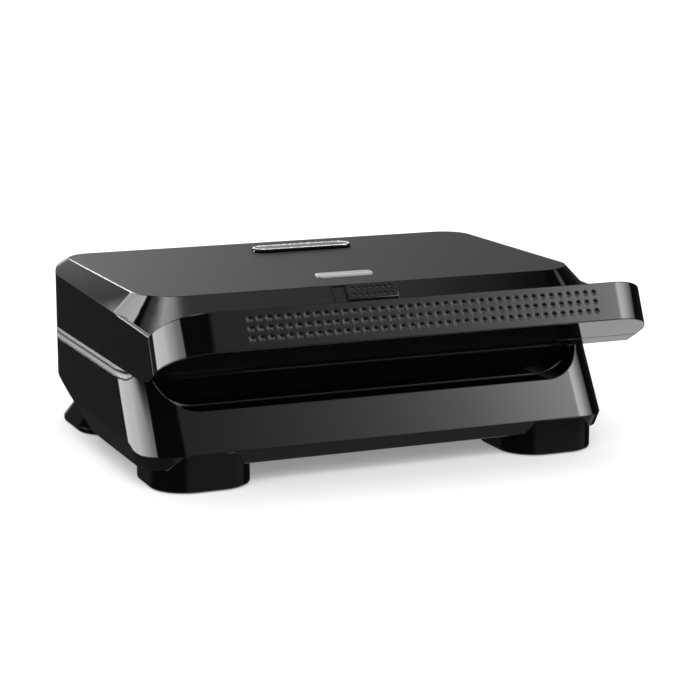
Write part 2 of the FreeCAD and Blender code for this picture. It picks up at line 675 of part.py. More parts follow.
def build_base_electrics():
    core = cylinder("fuse_core", ("-fuse_length / 2", "fuse_y", "pan_z - fuse_radius"), "fuse_radius",
                    "fuse_length", "X")
    leads = cylinder("fuse_leads", ("-fuse_length / 2 - lead_length", "fuse_y", "pan_z - fuse_radius"),
                     "lead_radius", "fuse_length + 2 * lead_length", "X")
    keep("thermal_fuse", fuse("thermal_fuse", core, leads))
    top_z = "base_bottom_z + floor_thick"
    block = box("block_solid", ("block_x", "block_y", top_z), ("block_width", "block_depth", "block_height"))
    bores = [cylinder(f"block_bore_{index}", (f"block_x + block_width * {2 * index + 1} / 6",
                                             "block_y + block_depth / 2", f"{top_z} + block_height / 2"),
                      "block_bore", "block_height")
             for index in range(3)]
    keep("terminal_block", cut("terminal_block", block, *bores))
    sleeve = cylinder("gland_sleeve", ("gland_x", "rear_y - wall - gland_inside", "gland_z"),
                      "gland_radius", "wall + gland_inside", "Y")
    flange_disc = cylinder("gland_disc", ("gland_x", "rear_y", "gland_z"), "gland_flange",
                           "gland_flange_thick", "Y")
    bore = cylinder("gland_hole", ("gland_x", "rear_y - wall - gland_inside - overrun", "gland_z"),
                    "gland_bore", "wall + gland_inside + gland_flange_thick + 2 * overrun", "Y")
    keep("cord_gland", cut("cord_gland", fuse("gland_solid", sleeve, flange_disc), bore))


# Lid.

def lid_form(name, drop, inset):
    """Flat top with an inclined band round it over upright walls; drop and inset give its inside."""
    tier = new_body(name + "_tier")
    top = profile(tier, "XY_Plane", rounded(
        "-top_half", "top_half", "top_front_y", "top_back_y", "tier_front_corner", "tier_rear_corner"),
        level=f"lid_top_z - {drop}")
    wide = rounded("-top_half - flare", "top_half + flare", "flare_front_y * flare_stretch",
                   "flare_back_y * flare_stretch", "tier_front_corner + flare", "tier_rear_corner + flare")
    level = f"lid_top_z - flare_drop - flare_front_y * flare_slope - {drop}"
    loft(tier, top, profile(tier, "XY_Plane", wide, level=level, slope="flare_slope"))
    lower = profile(tier, "XY_Plane", wide, level=level, slope="flare_slope")
    doc.recompute()
    pad(tier, lower, "tier_height", backwards=True)
    walls = new_body(name + "_walls")
    outline = profile(walls, "YZ_Plane", [
        ("root_y", f"root_z - {drop}"), ("root_y + root_run", f"lid_bottom_z - {drop}"),
        (f"rear_y - {inset}", f"lid_bottom_z - {drop}"), (f"rear_y - {inset}", "lid_top_z + overrun"),
        ("root_y", "lid_top_z + overrun"),
    ])
    block = pad(walls, outline, f"body_width - 2 * {inset}", symmetric=True)
    fillet(walls, block, f"rear_corner - {inset}",
           lambda edge: is_upright(edge) and edge.CenterOfMass.y > 0)
    return common(name, tier, walls)


def wing_form():
    """Full-width wing that carries the handle, its front corners round in plan."""
    body = new_body("wing")
    back_y = "valley_y + (valley_z - lid_bottom_z) / wing_slope"
    side = profile(body, "YZ_Plane", [
        ("front_y", "nose_z"), ("root_y", "root_z"), ("root_y + root_run", "lid_bottom_z"),
        (back_y, "lid_bottom_z"), ("grip_y", "grip_z"),
    ])
    block = pad(body, side, "body_width", symmetric=True)
    limit = number("grip_y + clearance")
    fillet(body, block, "handle_corner", lambda edge: is_upright(edge) and edge.BoundBox.YMax < limit)
    return body


def seam_y(level):
    """The seam between handle and lid: the front face moved back by the handle's depth."""
    return f"front_y + handle_depth + ({level} - nose_z) * face_slope"


def build_lid_shells():
    wing = wing_form()
    ahead = new_body("ahead_of_seam")
    high, low = "(grip_z + overrun)", "(rim_z - overrun)"
    far = f"{seam_y(low)} - body_width"
    sketch = profile(ahead, "YZ_Plane", [
        (far, low), (seam_y(low), low), (seam_y(high), high), (far, high)])
    pad(ahead, sketch, "body_width + 2 * overrun", symmetric=True)
    build_handle(common("handle_solid", wing, ahead))
    root = cut("wing_root", wing, ahead)
    arms = []
    for name, level in (("left", "-half_width"), ("right", "half_width - wall")):
        arm = new_body(f"side_arm_{name}")
        start = "top_front_y + tier_front_corner * arm_root_share"
        rise = "(lid_top_z - side_drop_front * side_edge_share - seam_top_z) / (top_front_y - seam_top_y)"
        sketch = profile(arm, "YZ_Plane", [
            ("root_y", "root_z"), ("root_y + root_run", "lid_bottom_z"), (start, "lid_bottom_z"),
            (start, f"seam_top_z + ({start} - seam_top_y) * {rise}"), ("seam_top_y", "seam_top_z"),
        ], level=level)
        pad(arm, sketch, "wall")
        arms.append(arm)
    outer = fuse("lid_outer", lid_form("lid_outside", "0", "0"), root, *arms)
    groove = new_body("finger_groove")
    deep, below, lip = "(lid_bottom_z + groove_rise)", "(lid_bottom_z - overrun)", "root_y - groove_lip"
    sketch = profile(groove, "YZ_Plane", [
        (seam_y(below) + " - overrun", below), (lip, below), (lip, f"{deep} - groove_lip"),
        (seam_y(deep) + " - overrun", deep)])
    pad(groove, sketch, "body_width - 2 * groove_margin", symmetric=True)
    corner = ("lens_x - stem_width / 2 - clearance", "lens_y - stem_depth / 2 - clearance",
              "lid_top_z - lid_skin - overrun")
    room = ("stem_width + 2 * clearance", "stem_depth + 2 * clearance", "lid_skin + 2 * overrun")
    stem_hole = box("stem_hole", corner, room)
    cavity = lid_form("lid_inside", "lid_skin", "wall")
    keep("lid_cover", cut("lid_cover", outer, cavity, groove, stem_hole, *latch_cuts()))


def build_handle(solid):
    """Handle bar, hollow and open only towards the seam."""
    hollow = new_body("handle_hollow")
    tall, long = "handle_wall", "body_width - handle_corner * 2 * arm_root_share"
    top = f"(grip_z - {tall} - wing_slope * (handle_wall + face_lean))"
    front = "front_y + handle_wall"
    low = f"(nose_z + {tall})"
    back_low = f"(nose_z + {tall} - under_slope * handle_depth)"
    back_top = f"(grip_z - {tall} - wing_slope * (handle_depth + face_lean))"
    sketch = profile(hollow, "YZ_Plane", [
        (f"{front} + {tall} * face_slope", low),
        (f"{front} + handle_depth", back_low),
        (f"{front} + handle_depth + ({back_top} - {back_low}) * face_slope", back_top),
        (f"{front} + ({top} - nose_z) * face_slope", top)])
    pad(hollow, sketch, long, symmetric=True)
    keep("handle_bar", cut("handle_bar", solid, hollow))


def build_lid_frame():
    front = "lower_front_y + wall + frame_depth"
    ring = frame_ring("lid_ring", front, "tier_front_corner + wall", upward=True)
    window = hook_window("lid_hook_window", "lid_bottom_z - overrun")
    keep("lid_frame", cut("lid_frame", ring, window))


def build_base_frame():
    ring = frame_ring("base_ring", "frame_front_y", "base_corner - wall", upward=False)
    window = hook_window("base_hook_window", "frame_z - overrun")
    keep("base_frame", cut("base_frame", ring, window))


def build_lens():
    body = new_body("indicator_lens")
    half = "lens_width / 2"
    outline = profile(body, "XY_Plane", rounded(
        f"lens_x - {half}", f"lens_x + {half}", "lens_y - lens_depth / 2", "lens_y + lens_depth / 2",
        "lens_corner"), level="lid_top_z")
    bar = pad(body, outline, "lens_height")
    level = number("lid_top_z + lens_height")
    fillet(body, bar, "lens_edge", lambda edge: lies_at(edge, level))
    stem = profile(body, "XY_Plane", rectangle(
        "lens_x - stem_width / 2", "lens_x + stem_width / 2", "lens_y - stem_depth / 2",
        "lens_y + stem_depth / 2"), level="lid_top_z")
    pad(body, stem, "stem_length", backwards=True)
    keep("indicator_lens", body)


def build_lamp_board():
    sheet = box("board_sheet", ("lens_x - board_width / 2", "lens_y - board_depth / 2",
                                "board_z - board_thick"), ("board_width", "board_depth", "board_thick"))
    lamp = cylinder("board_lamp", ("lens_x", "lens_y", "board_z"), "lamp_radius", "lamp_height")
    posts = [cylinder(f"board_post_{name}", (f"lens_x + {sign} * (board_width / 2 - post_radius)", "lens_y",
                                            "board_z"), "post_radius", "lid_top_z - lid_skin - board_z")
             for name, sign in (("left", "-1"), ("right", "1"))]
    keep("lamp_board", fuse("lamp_board", sheet, lamp, *posts))


def build_plaque():
    body = new_body("lid_plaque")
    half, depth = "plaque_width / 2", "plaque_depth / 2"
    outline = profile(body, "XY_Plane", rounded(
        f"plaque_x - {half}", f"plaque_x + {half}", f"plaque_y - {depth}", f"plaque_y + {depth}",
        "(plaque_depth * plaque_round_share)"), level="lid_top_z")
    disc = pad(body, outline, "plaque_height")
    level = number("lid_top_z + plaque_height")
    fillet(body, disc, "plaque_edge", lambda edge: lies_at(edge, level))
    keep("lid_plaque", body)


# Latch.

def on_band(item):
    """Lay a piece drawn flat onto the inclined front band, at the middle of the latch."""
    item.Placement = tilted("band_drop / band_run")
    bind(item, {"Placement.Rotation.Angle": "atan(band_drop / band_run)"})
    return place(item, ("latch_x", "latch_y", "latch_z"))


def band_box(name, left, right, height, low, high):
    """Box on the band: left and right along it, height up the slope, low and high off its face."""
    body = new_body(name)
    sketch = profile(body, "XY_Plane", rectangle(left, right, f"-{height} / 2", f"{height} / 2"), level=low)
    block = pad(body, sketch, f"({high}) - ({low})")
    return on_band(body), block


def latch_cuts():
    track, _ = band_box("latch_track", "-latch_width / 2 - latch_travel - clearance",
                        "latch_width / 2 + clearance", "(latch_height + 2 * clearance)", "-track_depth",
                        "overrun")
    slot, _ = band_box("latch_slot", "-neck_width / 2 - latch_travel - clearance",
                       "neck_width / 2 + clearance", "(neck_height + 2 * clearance)",
                       "-band_skin - overrun / 2", "overrun")
    return track, slot


def build_latch():
    slider, block = band_box("latch_slider", "-latch_width / 2", "latch_width / 2", "latch_height",
                             "clearance - track_depth", "knob_rise")
    level = number("knob_rise")
    fillet(slider, block, "knob_edge", lambda edge: lies_at(edge, level))
    keep("latch_slider", slider)
    neck, _ = band_box("latch_neck", "-neck_width / 2", "neck_width / 2", "neck_height",
                       "-band_skin - clearance - carrier_thick", "clearance - track_depth")
    carrier, _ = band_box("latch_carrier", "-carrier_width / 2", "carrier_width / 2", "carrier_height",
                          "-band_skin - clearance - carrier_thick", "-band_skin - clearance")
    left = "latch_x - arm_width / 2"
    bridge = box("latch_bridge", (left, "latch_y + band_skin", "arm_bridge_z"),
                 ("arm_width", "arm_back_y - latch_y - band_skin", "arm_bridge"))
    stalk = box("latch_stalk", (left, "hook_front_y", "hook_tip_z"),
                ("arm_width", "arm_thick", "arm_bridge_z + arm_bridge - hook_tip_z"))
    toe = box("latch_toe", (left, "hook_front_y", "hook_tip_z"),
              ("arm_width + hook_toe", "arm_thick", "hook_height"))
    keep("latch_carriage", fuse("latch_carriage", neck, carrier, bridge, stalk, toe))


# Hinges.

def build_hinges():
    for side, middle in (("left", "-hinge_x"), ("right", "hinge_x")):
        ears = []
        for name, start in (("outer", f"{middle} - pin_length / 2"),
                            ("inner", f"{middle} + eye_width / 2 + clearance")):
            eye = cylinder(f"{side}_{name}_ear", (start, "hinge_y", "hinge_z"), "eye_radius",
                           "ear_thick", "X")
            web = box(f"{side}_{name}_web", (start, "rear_y", "hinge_z - ear_drop"),
                      ("ear_thick", "hinge_reach", "ear_drop"))
            ears += [eye, web]
        back = box(f"{side}_bracket_plate", (f"{middle} - pin_length / 2", "rear_y",
                                             "hinge_z - ear_drop - bracket_height / 2"),
                   ("pin_length", "foot_plate", "bracket_height"))
        bore = cylinder(f"{side}_ear_bore", (f"{middle} - pin_length / 2 - overrun", "hinge_y", "hinge_z"),
                        "pin_radius + pin_fit", "pin_length + 2 * overrun", "X")
        keep(f"{side}_hinge_bracket", cut(f"{side}_bracket", fuse(f"{side}_ears", back, *ears), bore))
        keep(f"{side}_hinge_pin", cylinder(f"{side}_hinge_pin", (f"{middle} - pin_length / 2", "hinge_y",
                                                                 "hinge_z"), "pin_radius", "pin_length", "X"))
        start = f"{middle} - eye_width / 2"
        eye = cylinder(f"{side}_arm_eye", (start, "hinge_y", "hinge_z"), "eye_radius", "eye_width", "X")
        neck = box(f"{side}_arm_neck", (start, "rear_y + clearance", "hinge_z"),
                   ("eye_width", "hinge_reach / 2 + eye_radius / 2", "arm_neck"))
        strap = box(f"{side}_arm_strap", (start, "rear_y", "hinge_z + eye_radius"),
                    ("eye_width", "arm_plate", "arm_height"))
        hole = cylinder(f"{side}_arm_hole", (f"{start} - overrun", "hinge_y", "hinge_z"),
                        "pin_radius + eye_fit", "eye_width + 2 * overrun", "X")
        keep(f"{side}_hinge_arm", cut(f"{side}_arm", fuse(f"{side}_arm_solid", eye, neck, strap), hole))


# Trim beads.

SIDE_STARTS = (("left", "-half_width - overrun"), ("right", "half_width - notch_reach"))


def side_prism(name, points, start):
    """Prism across one side wall of the base, drawn as seen from the side."""
    body = new_body(name)
    pad(body, profile(body, "YZ_Plane", points, level=start), "notch_reach + overrun")
    return body


def notch_form(name, start):
    """Gap along the parting plane, closed at the front by a round corner."""
    top = "rim_z + overrun"
    return side_prism(name, [
        ("notch_back_y", top), ("notch_front_y", top), ("notch_front_y", "notch_z + bead_turn"),
        ("notch_front_y + bead_turn", "notch_z", "bead_turn"), ("notch_back_y", "notch_z"),
    ], start)


def build_beads():
    """Strips that follow the side walls of the base round its front corners."""
    low, high = "notch_z", "(notch_z + bead_height)"
    hook = [
        ("notch_back_y", low), ("notch_back_y", high), ("notch_front_y + bead_turn", high),
        ("notch_front_y + bead_height", f"{low} + bead_turn", "-(bead_turn - bead_height)"),
        ("notch_front_y", f"{low} + bead_turn"), ("notch_front_y + bead_turn", low, "bead_turn"),
    ]
    strip = rectangle("notch_front_y + bead_height + bead_end_gap", "notch_back_y - clearance",
                      "lid_bottom_z - bead_height", "lid_bottom_z")
    skin = cut("bead_skin", base_form("bead_outside", "0", "lid_bottom_z"),
               base_form("bead_inside", "bead_thick", "(rim_z + overrun)"))
    for side, start in SIDE_STARTS:
        for owner, points in (("base", hook), ("lid", strip)):
            label = f"{owner}_{side}_bead"
            keep(label, common(label, skin, side_prism(label + "_prism", points, start)))


def check_document():
    doc.recompute()
    failed = [item.Name for item in doc.Objects if {"Invalid", "Error"} & set(item.State)]
    if failed:
        raise ValueError(f"failed: {failed}")
    unsound = [label for label, item in PIECES.items() if item.Shape.isNull() or not item.Shape.isValid()]
    if unsound:
        raise ValueError(f"no valid shape: {unsound}")


def main():
    fill_sheets()
    base_outer = base_form("base_outer", "0", "rim_z")
    build_base_housing(base_outer)
    build_base_floor()
    build_feet(base_outer)
    build_base_frame()
    lower = {
        "upper_plate": build_plate(),
        "upper_heater": build_heater(),
        "upper_reflector": build_pan(),
        "upper_thermostat": build_thermostat(),
    }
    build_base_electrics()
    build_lid_shells()
    build_lid_frame()
    for label, source in lower.items():
        mirrored(label, source, "mirror_z", Vector(0, 0, 1))
    build_lens()
    build_lamp_board()
    build_plaque()
    build_latch()
    build_hinges()
    build_beads()
    check_document()
    os.makedirs("parts", exist_ok=True)
    for label, item in PIECES.items():
        item.Shape.exportStep(f"parts/{label}.step")
        print(f"{label}: {len(item.Shape.Solids)} solid, {item.Shape.Volume / 1000:.1f} cm3")


main()
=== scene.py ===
"""Looks of the sandwich maker: finishes for its CAD pieces, small pieces made here, and the studio round it."""

import math

import bmesh
import bpy
from mathutils import Matrix, Vector


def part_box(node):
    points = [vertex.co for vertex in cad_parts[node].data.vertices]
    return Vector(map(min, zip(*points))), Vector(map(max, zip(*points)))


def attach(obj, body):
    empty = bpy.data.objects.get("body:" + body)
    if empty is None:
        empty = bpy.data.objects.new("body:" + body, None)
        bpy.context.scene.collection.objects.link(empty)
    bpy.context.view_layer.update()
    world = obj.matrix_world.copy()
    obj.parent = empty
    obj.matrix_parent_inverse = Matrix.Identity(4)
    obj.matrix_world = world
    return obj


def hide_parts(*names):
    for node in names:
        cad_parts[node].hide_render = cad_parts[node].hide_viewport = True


bl_info = {
    "name": "Sandwich maker looks",
    "version": (1, 0, 0),
    "blender": (4, 5, 0),
    "location": "3D View > Sidebar > Sandwich maker",
    "description": "Finishes, pitted grips, screws and studio for the sandwich maker",
    "category": "Object",
}

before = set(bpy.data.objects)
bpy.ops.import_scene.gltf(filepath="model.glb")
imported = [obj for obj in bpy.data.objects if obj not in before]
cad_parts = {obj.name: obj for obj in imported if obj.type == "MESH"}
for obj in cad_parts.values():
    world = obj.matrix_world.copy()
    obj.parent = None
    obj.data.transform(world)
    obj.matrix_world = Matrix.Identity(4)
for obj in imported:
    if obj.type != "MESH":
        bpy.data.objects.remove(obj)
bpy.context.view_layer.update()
MM = 0.001
HANDLE_LOW, HANDLE_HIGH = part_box("handle_bar")
SLIDER_LOW, SLIDER_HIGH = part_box("latch_slider")
PLAQUE_LOW, PLAQUE_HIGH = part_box("lid_plaque")
_, LID_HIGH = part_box("lid_cover")
FLOOR_LOW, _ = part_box("base_floor")
SIDES = ("left", "right")

# Meshes: points nearer than JOIN are one, faces bent less than FLAT are one, edges bent more than SHARP stay sharp.
JOIN = 0.002 * MM
FLAT = math.radians(0.05)
SHARP = math.radians(32)

# Pieces that reflections leave out, beside the handle's grip: the lid's cover and what it would hide.
UNMIRRORED = (
    "lid_cover", "lid_frame", "upper_plate", "upper_heater", "upper_reflector", "upper_thermostat", "thermal_fuse",
    "lamp_board", "latch_carriage")

# Screws of the bottom cover: distance to each side of the middle line, and place along it.
COVER_SCREWS = ((66 * MM, -62 * MM), (66 * MM, 74 * MM), (128 * MM, 20 * MM))
# Screws of the hinges: thickness of the plates they sit on, level on a bracket as a share of its height, distance
# from a bracket's middle, and depths below the top of an arm.
HINGE_PLATE = 3 * MM
BRACKET_LEVEL = 0.1375
BRACKET_APART = 7 * MM
ARM_DROPS = (5.5 * MM, 15.5 * MM)
DOWNWARDS = (math.pi, 0.0, 0.0)
REARWARDS = (-math.pi / 2, 0.0, 0.0)

# Lamps: share of the key light, direction that the light comes from, and spread.
LAMPS = {
    "overhead_lamp": (1.0, (0.05, 0.12, 1.0), math.radians(70)),
    "front_lamp": (1.9, (-0.25, -1.0, 0.75), math.radians(45)),
    "side_lamp": (1.0, (-1.0, -0.35, 0.6), math.radians(50)),
}


def length(name, description, default):
    return bpy.props.FloatProperty(
        name=name, description=description, default=default, min=0.0, subtype="DISTANCE", unit="LENGTH",
        precision=5)


def count(name, description, default, least):
    return bpy.props.IntProperty(name=name, description=description, default=default, min=least)


def share_of(name, description, default):
    return bpy.props.FloatProperty(name=name, description=description, default=default, min=0.0, max=1.0)


def strength(name, description, default):
    return bpy.props.FloatProperty(name=name, description=description, default=default, min=0.0)


def angle(name, description, degrees):
    return bpy.props.FloatProperty(
        name=name, description=description, default=math.radians(degrees), subtype="ANGLE")


def colour(name, description, default):
    return bpy.props.FloatVectorProperty(
        name=name, description=description, default=default, size=3, min=0.0, max=1.0, subtype="COLOR")


class GripSizes(bpy.types.PropertyGroup):
    """Pits in the handle's front face and in the latch slider."""
    handle_columns: count("Handle columns", "Pits along the handle", 39, 2)
    handle_rows: count("Handle rows", "Rows of pits on the handle", 3, 1)
    handle_pitch: length("Handle pitch", "Distance from pit to pit along the handle", 5.54 * MM)
    handle_row_pitch: length("Handle row pitch", "Distance between the rows of the handle", 5.43 * MM)
    handle_pit: length("Handle pit", "Radius of a pit at the handle's surface", 1.55 * MM)
    handle_depth: length("Handle pit depth", "Depth of a pit in the handle", 1.2 * MM)
    handle_shift: length("Handle shift", "How far right of the middle the field of pits sits", 3.2 * MM)
    handle_share: share_of("Handle share", "How far up the front face the field of pits sits", 0.515)
    face_foot: length("Face foot", "Height of the lower edge of the handle's front face", 90.4 * MM)
    face_head: length("Face head", "How far before the middle the upper edge of that face lies", 126.3 * MM)
    slider_columns: count("Slider columns", "Pits along the latch slider", 7, 2)
    slider_rows: count("Slider rows", "Rows of pits on the latch slider", 2, 1)
    slider_pitch: length("Slider pitch", "Distance from pit to pit along the slider", 3.95 * MM)
    slider_row_pitch: length("Slider row pitch", "Distance between the rows of the slider", 4.7 * MM)
    slider_pit: length("Slider pit", "Radius of a pit at the slider's surface", 1.2 * MM)
    slider_depth: length("Slider pit depth", "Depth of a pit in the slider", 0.95 * MM)


class TrimSizes(bpy.types.PropertyGroup):
    """Screws, the rim of the plaque, the beads and the lens."""
    screw_radius: length("Screw head", "Radius of a screw's head", 2.7 * MM)
    screw_height: length("Screw height", "Height of a screw's head", 1.1 * MM)
    slot_width: length("Screw cross", "Width of the cross in a screw's head", 0.8 * MM)
    rim_wire: length("Rim wire", "Radius of the bright rim round the plaque", 0.5 * MM)
    rim_inset: length("Rim inset", "How far in from the plaque's outline the rim runs", 1.0 * MM)
    rim_sink: length("Rim sink", "How far below the plaque's top the middle of the rim lies", 0.1 * MM)
    bead_gap: length("Bead gap", "Dark gap beside each bead along the sides", 0.45 * MM)
    lens_share: share_of("Lens height", "Share of the lens's height that stands above the lid", 0.62)


class FinishColours(bpy.types.PropertyGroup):
    """Colours of the finishes, as linear values."""
    shell: colour("Shell", "Glossy black of the lid, base and handle", (0.0016, 0.0016, 0.0017))
    # The flat top's colour is partly its own satin black and partly painted sheen, lighter in place of reflected
    # light.
    shell_top: colour("Shell top", "Satin black of the lid's flat top", (0.0286, 0.0286, 0.0291))
    foot: colour("Feet", "Black of the feet, the plaque and the slider", (0.0018, 0.0018, 0.0019))
    heat_proof: colour("Heat-proof plastic", "Matt black of the frames and the bottom cover",
                       (0.018, 0.018, 0.019))
    coating: colour("Coating", "Non-stick coating of the cooking plates", (0.035, 0.034, 0.034))
    element: colour("Element", "Dull steel of the heating elements", (0.36, 0.34, 0.32))
    straw: colour("Straw", "Tint that heat leaves on the elements", (0.40, 0.33, 0.25))
    sheet: colour("Sheet", "Bright sheet of the reflector pans", (0.78, 0.78, 0.79))
    ceramic: colour("Ceramic", "Off-white of the terminal block", (0.72, 0.69, 0.62))
    rubber: colour("Rubber", "Soft black of the pads and the cord gland", (0.014, 0.014, 0.0145))
    lens: colour("Lens", "Silver white of the indicator lens and the rim", (0.47, 0.473, 0.486))
    board: colour("Board", "Green of the lamp board", (0.015, 0.11, 0.045))
    hinge: colour("Hinge steel", "Brushed steel of the hinges and screws", (0.44, 0.44, 0.45))
    bead: colour("Trim bead", "Light grey of the beads along the sides", (0.357, 0.357, 0.364))


class StudioSettings(bpy.types.PropertyGroup):
    """Camera, floor and light."""
    camera_place: bpy.props.FloatVectorProperty(
        name="Camera place", description="Where the camera stands", default=(-0.4860, -1.1692, 0.3149),
        size=3, subtype="XYZ", unit="LENGTH")
    camera_turn: angle("Camera turn", "Turn of the camera round the object", -23.0254)
    camera_rise: angle("Camera rise", "Height of the camera above the horizon", 11.5207)
    lens: bpy.props.FloatProperty(
        name="Lens", description="Focal length of the camera in millimetres", default=108.0, min=1.0)
    floor_size: length("Floor size", "Side of the square floor", 60.0)
    floor_colour: colour("Floor colour", "Pale colour of the floor", (0.94, 0.94, 0.94))
    floor_glow: strength("Floor glow", "White of the floor that doesn't darken in shadow", 0.25)
    ambient: strength("Ambient", "Even light from all round", 0.27)
    key_light: strength("Key light", "Strength of the soft lamp overhead", 1.05)


class Value:
    """A node's output: sums, products and quotients of it add Math nodes."""

    def __init__(self, nodes, socket):
        self.nodes = nodes
        self.socket = socket

    def __add__(self, other):
        return self.nodes.math("ADD", self, other)

    def __radd__(self, other):
        return self.nodes.math("ADD", other, self)

    def __sub__(self, other):
        return self.nodes.math("SUBTRACT", self, other)

    def __rsub__(self, other):
        return self.nodes.math("SUBTRACT", other, self)

    def __mul__(self, other):
        return self.nodes.math("MULTIPLY", self, other)

    def __rmul__(self, other):
        return self.nodes.math("MULTIPLY", other, self)

    def __truediv__(self, other):
        return self.nodes.math("DIVIDE", self, other)


class Nodes:
    """A node tree being written."""

    def __init__(self, tree):
        self.tree = tree
        tree.nodes.clear()

    def add(self, kind, settings=None, sockets=None, output=0):
        """A node of a kind: its settings come first, then the values or links of its sockets."""
        node = self.tree.nodes.new(kind)
        for name, setting in (settings or {}).items():
            if name == "stops":
                self.set_stops(node.color_ramp, setting)
            else:
                setattr(node, name, setting)
        for name, value in (sockets or {}).items():
            if isinstance(value, Value):
                self.tree.links.new(value.socket, node.inputs[name])
            else:
                node.inputs[name].default_value = value
        return Value(self, node.outputs[output]) if node.outputs else node

    @staticmethod
    def set_stops(ramp, stops):
        while len(ramp.elements) < len(stops):
            ramp.elements.new(1.0)
        for element, (position, level) in zip(ramp.elements, stops):
            element.position = position
            element.color = (level, level, level, 1.0)

    def math(self, operation, first, second=0.0):
        return self.add("ShaderNodeMath", {"operation": operation}, {0: first, 1: second})

    def step(self, value, low, high):
        """Smooth rise from 0 at low to 1 at high; a low above high gives a fall."""
        return self.add("ShaderNodeMapRange", {"interpolation_type": "SMOOTHSTEP"},
                        {"Value": value, "From Min": low, "From Max": high})

    def band(self, value, low, full, fading, high):
        """Smooth rise from 0 at low to 1 at full, and smooth fall from 1 at fading to 0 at high."""
        return self.step(value, low, full) * self.step(value, high, fading)

    def curve(self, value, points):
        """Straight lines through the points (place, level) of a value."""
        low, high = points[0][0], points[-1][0]
        top = max(level for _, level in points)
        stops = [((place - low) / (high - low), level / top) for place, level in points]
        share = self.add("ShaderNodeMapRange", None, {"Value": value, "From Min": low, "From Max": high})
        return self.add("ShaderNodeValToRGB", {"stops": stops}, {"Fac": share}) * top

    def mix(self, share, first, second):
        """Colour between two colours."""
        sockets = {0: share, 6: first, 7: second}
        for place in (6, 7):
            if not isinstance(sockets[place], Value):
                sockets[place] = (*sockets[place], 1.0)
        return self.add("ShaderNodeMix", {"data_type": "RGBA"}, sockets, output=2)

    def vary(self, share, tone, dark, light):
        """Colour between two shades of a tone."""
        return self.mix(share, shade(tone, dark), shade(tone, light))

    def place(self):
        """Object coordinates, in metres."""
        return self.add("ShaderNodeTexCoord", output="Object")

    def split(self, vector):
        node = self.add("ShaderNodeSeparateXYZ", None, {0: vector}).socket.node
        return [Value(self, socket) for socket in node.outputs]

    def noise(self, vector, scale, detail=2.0, roughness=0.5):
        return self.add("ShaderNodeTexNoise", None, {
            "Vector": vector, "Scale": scale, "Detail": detail, "Roughness": roughness})

    def streaks(self, vector, scales, detail, roughness=0.5):
        """Noise with a scale of its own along each axis."""
        stretched = self.add("ShaderNodeMapping", None, {"Vector": vector, "Scale": scales})
        return self.noise(stretched, 1.0, detail, roughness)

    def bump(self, height, strength, distance, normal=None):
        sockets = {"Height": height, "Strength": strength, "Distance": distance}
        if normal is not None:
            sockets["Normal"] = normal
        return self.add("ShaderNodeBump", None, sockets)

    def bevel(self, radius):
        return self.add("ShaderNodeBevel", {"samples": 6}, {"Radius": radius})


def shade(tone, factor):
    return tuple(min(1.0, part * factor) for part in tone)


def settings(name):
    return getattr(bpy.context.scene, name)


def finish(write):
    """A material named after its writer, which gives the sockets of one shader, or a share and two of them."""
    material = bpy.data.materials.new(write.__name__)
    material.use_nodes = True
    nodes = Nodes(material.node_tree)
    written = write(nodes, nodes.place(), settings("finish_colours"))
    if isinstance(written, tuple):
        share, *layers = written
        first, second = (nodes.add("ShaderNodeBsdfPrincipled", None, sockets) for sockets in layers)
        surface = nodes.add("ShaderNodeMixShader", None, {0: share, 1: first, 2: second})
    else:
        surface = nodes.add("ShaderNodeBsdfPrincipled", None, written)
    nodes.add("ShaderNodeOutputMaterial", None, {"Surface": surface})
    return material


def made(name):
    """A finish by name; it has to be there already."""
    material = bpy.data.materials.get(name)
    if material is None:
        raise RuntimeError(f"no finish named {name}")
    return material


def dress(material, nodes):
    """Give CAD nodes a finish."""
    for node in nodes:
        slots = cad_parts[node].data.materials
        slots.clear()
        slots.append(material)


def shell_gloss(nodes, place, colours):
    """Gloss, with satin where the surface is flat at the level of the lid's top; the satin's lighter colour is
    partly the top's own satin black and partly painted sheen.
    """
    haze = nodes.noise(place, 26.0, detail=4.0, roughness=0.6)
    specks = nodes.noise(place, 900.0)
    soft = nodes.bevel(1.1 * MM)
    flat = nodes.step(nodes.split(soft)[2], 0.985, 0.999)
    above = nodes.split(place)[2] - LID_HIGH.z
    # Mask of the flat top, which gets the satin finish and its painted sheen.
    top = nodes.band(above, -0.12 * MM, -0.02 * MM, 0.1 * MM, 0.2 * MM) * flat
    gloss = {
        "Base Color": nodes.vary(haze, colours.shell, 0.85, 1.15),
        "Roughness": 0.035 + haze * 0.03,
        "Normal": soft,
        "IOR": 1.5,
    }
    # Satin of the top: real roughness and bumps, with a lighter colour that is partly painted sheen.
    satin = {
        "Base Color": nodes.vary(haze, colours.shell_top, 0.94, 1.06),
        "Roughness": 0.38 + specks * 0.06,
        "Normal": nodes.bump(specks, strength=0.05, distance=0.05 * MM, normal=soft),
        "IOR": 1.2,
    }
    return top, gloss, satin


def foot_gloss(nodes, place, colours):
    haze = nodes.noise(place, 40.0, detail=4.0, roughness=0.6)
    fine = nodes.noise(place, 1400.0)
    return {
        "Base Color": nodes.vary(haze, colours.foot, 0.8, 1.2),
        "Roughness": 0.05 + haze * 0.04,
        "Normal": nodes.bump(fine, strength=0.04, distance=0.04 * MM, normal=nodes.bevel(0.35 * MM)),
        "IOR": 1.5,
    }


def slider_satin(nodes, place, colours):
    fine = nodes.noise(place, 1600.0, detail=3.0, roughness=0.6)
    wear = nodes.noise(place, 120.0, detail=3.0)
    return {
        "Base Color": nodes.vary(wear, colours.foot, 0.9, 2.2),
        "Roughness": 0.1 + fine * 0.05,
        "Normal": nodes.bump(fine, strength=0.04, distance=0.03 * MM),
        "IOR": 1.5,
    }


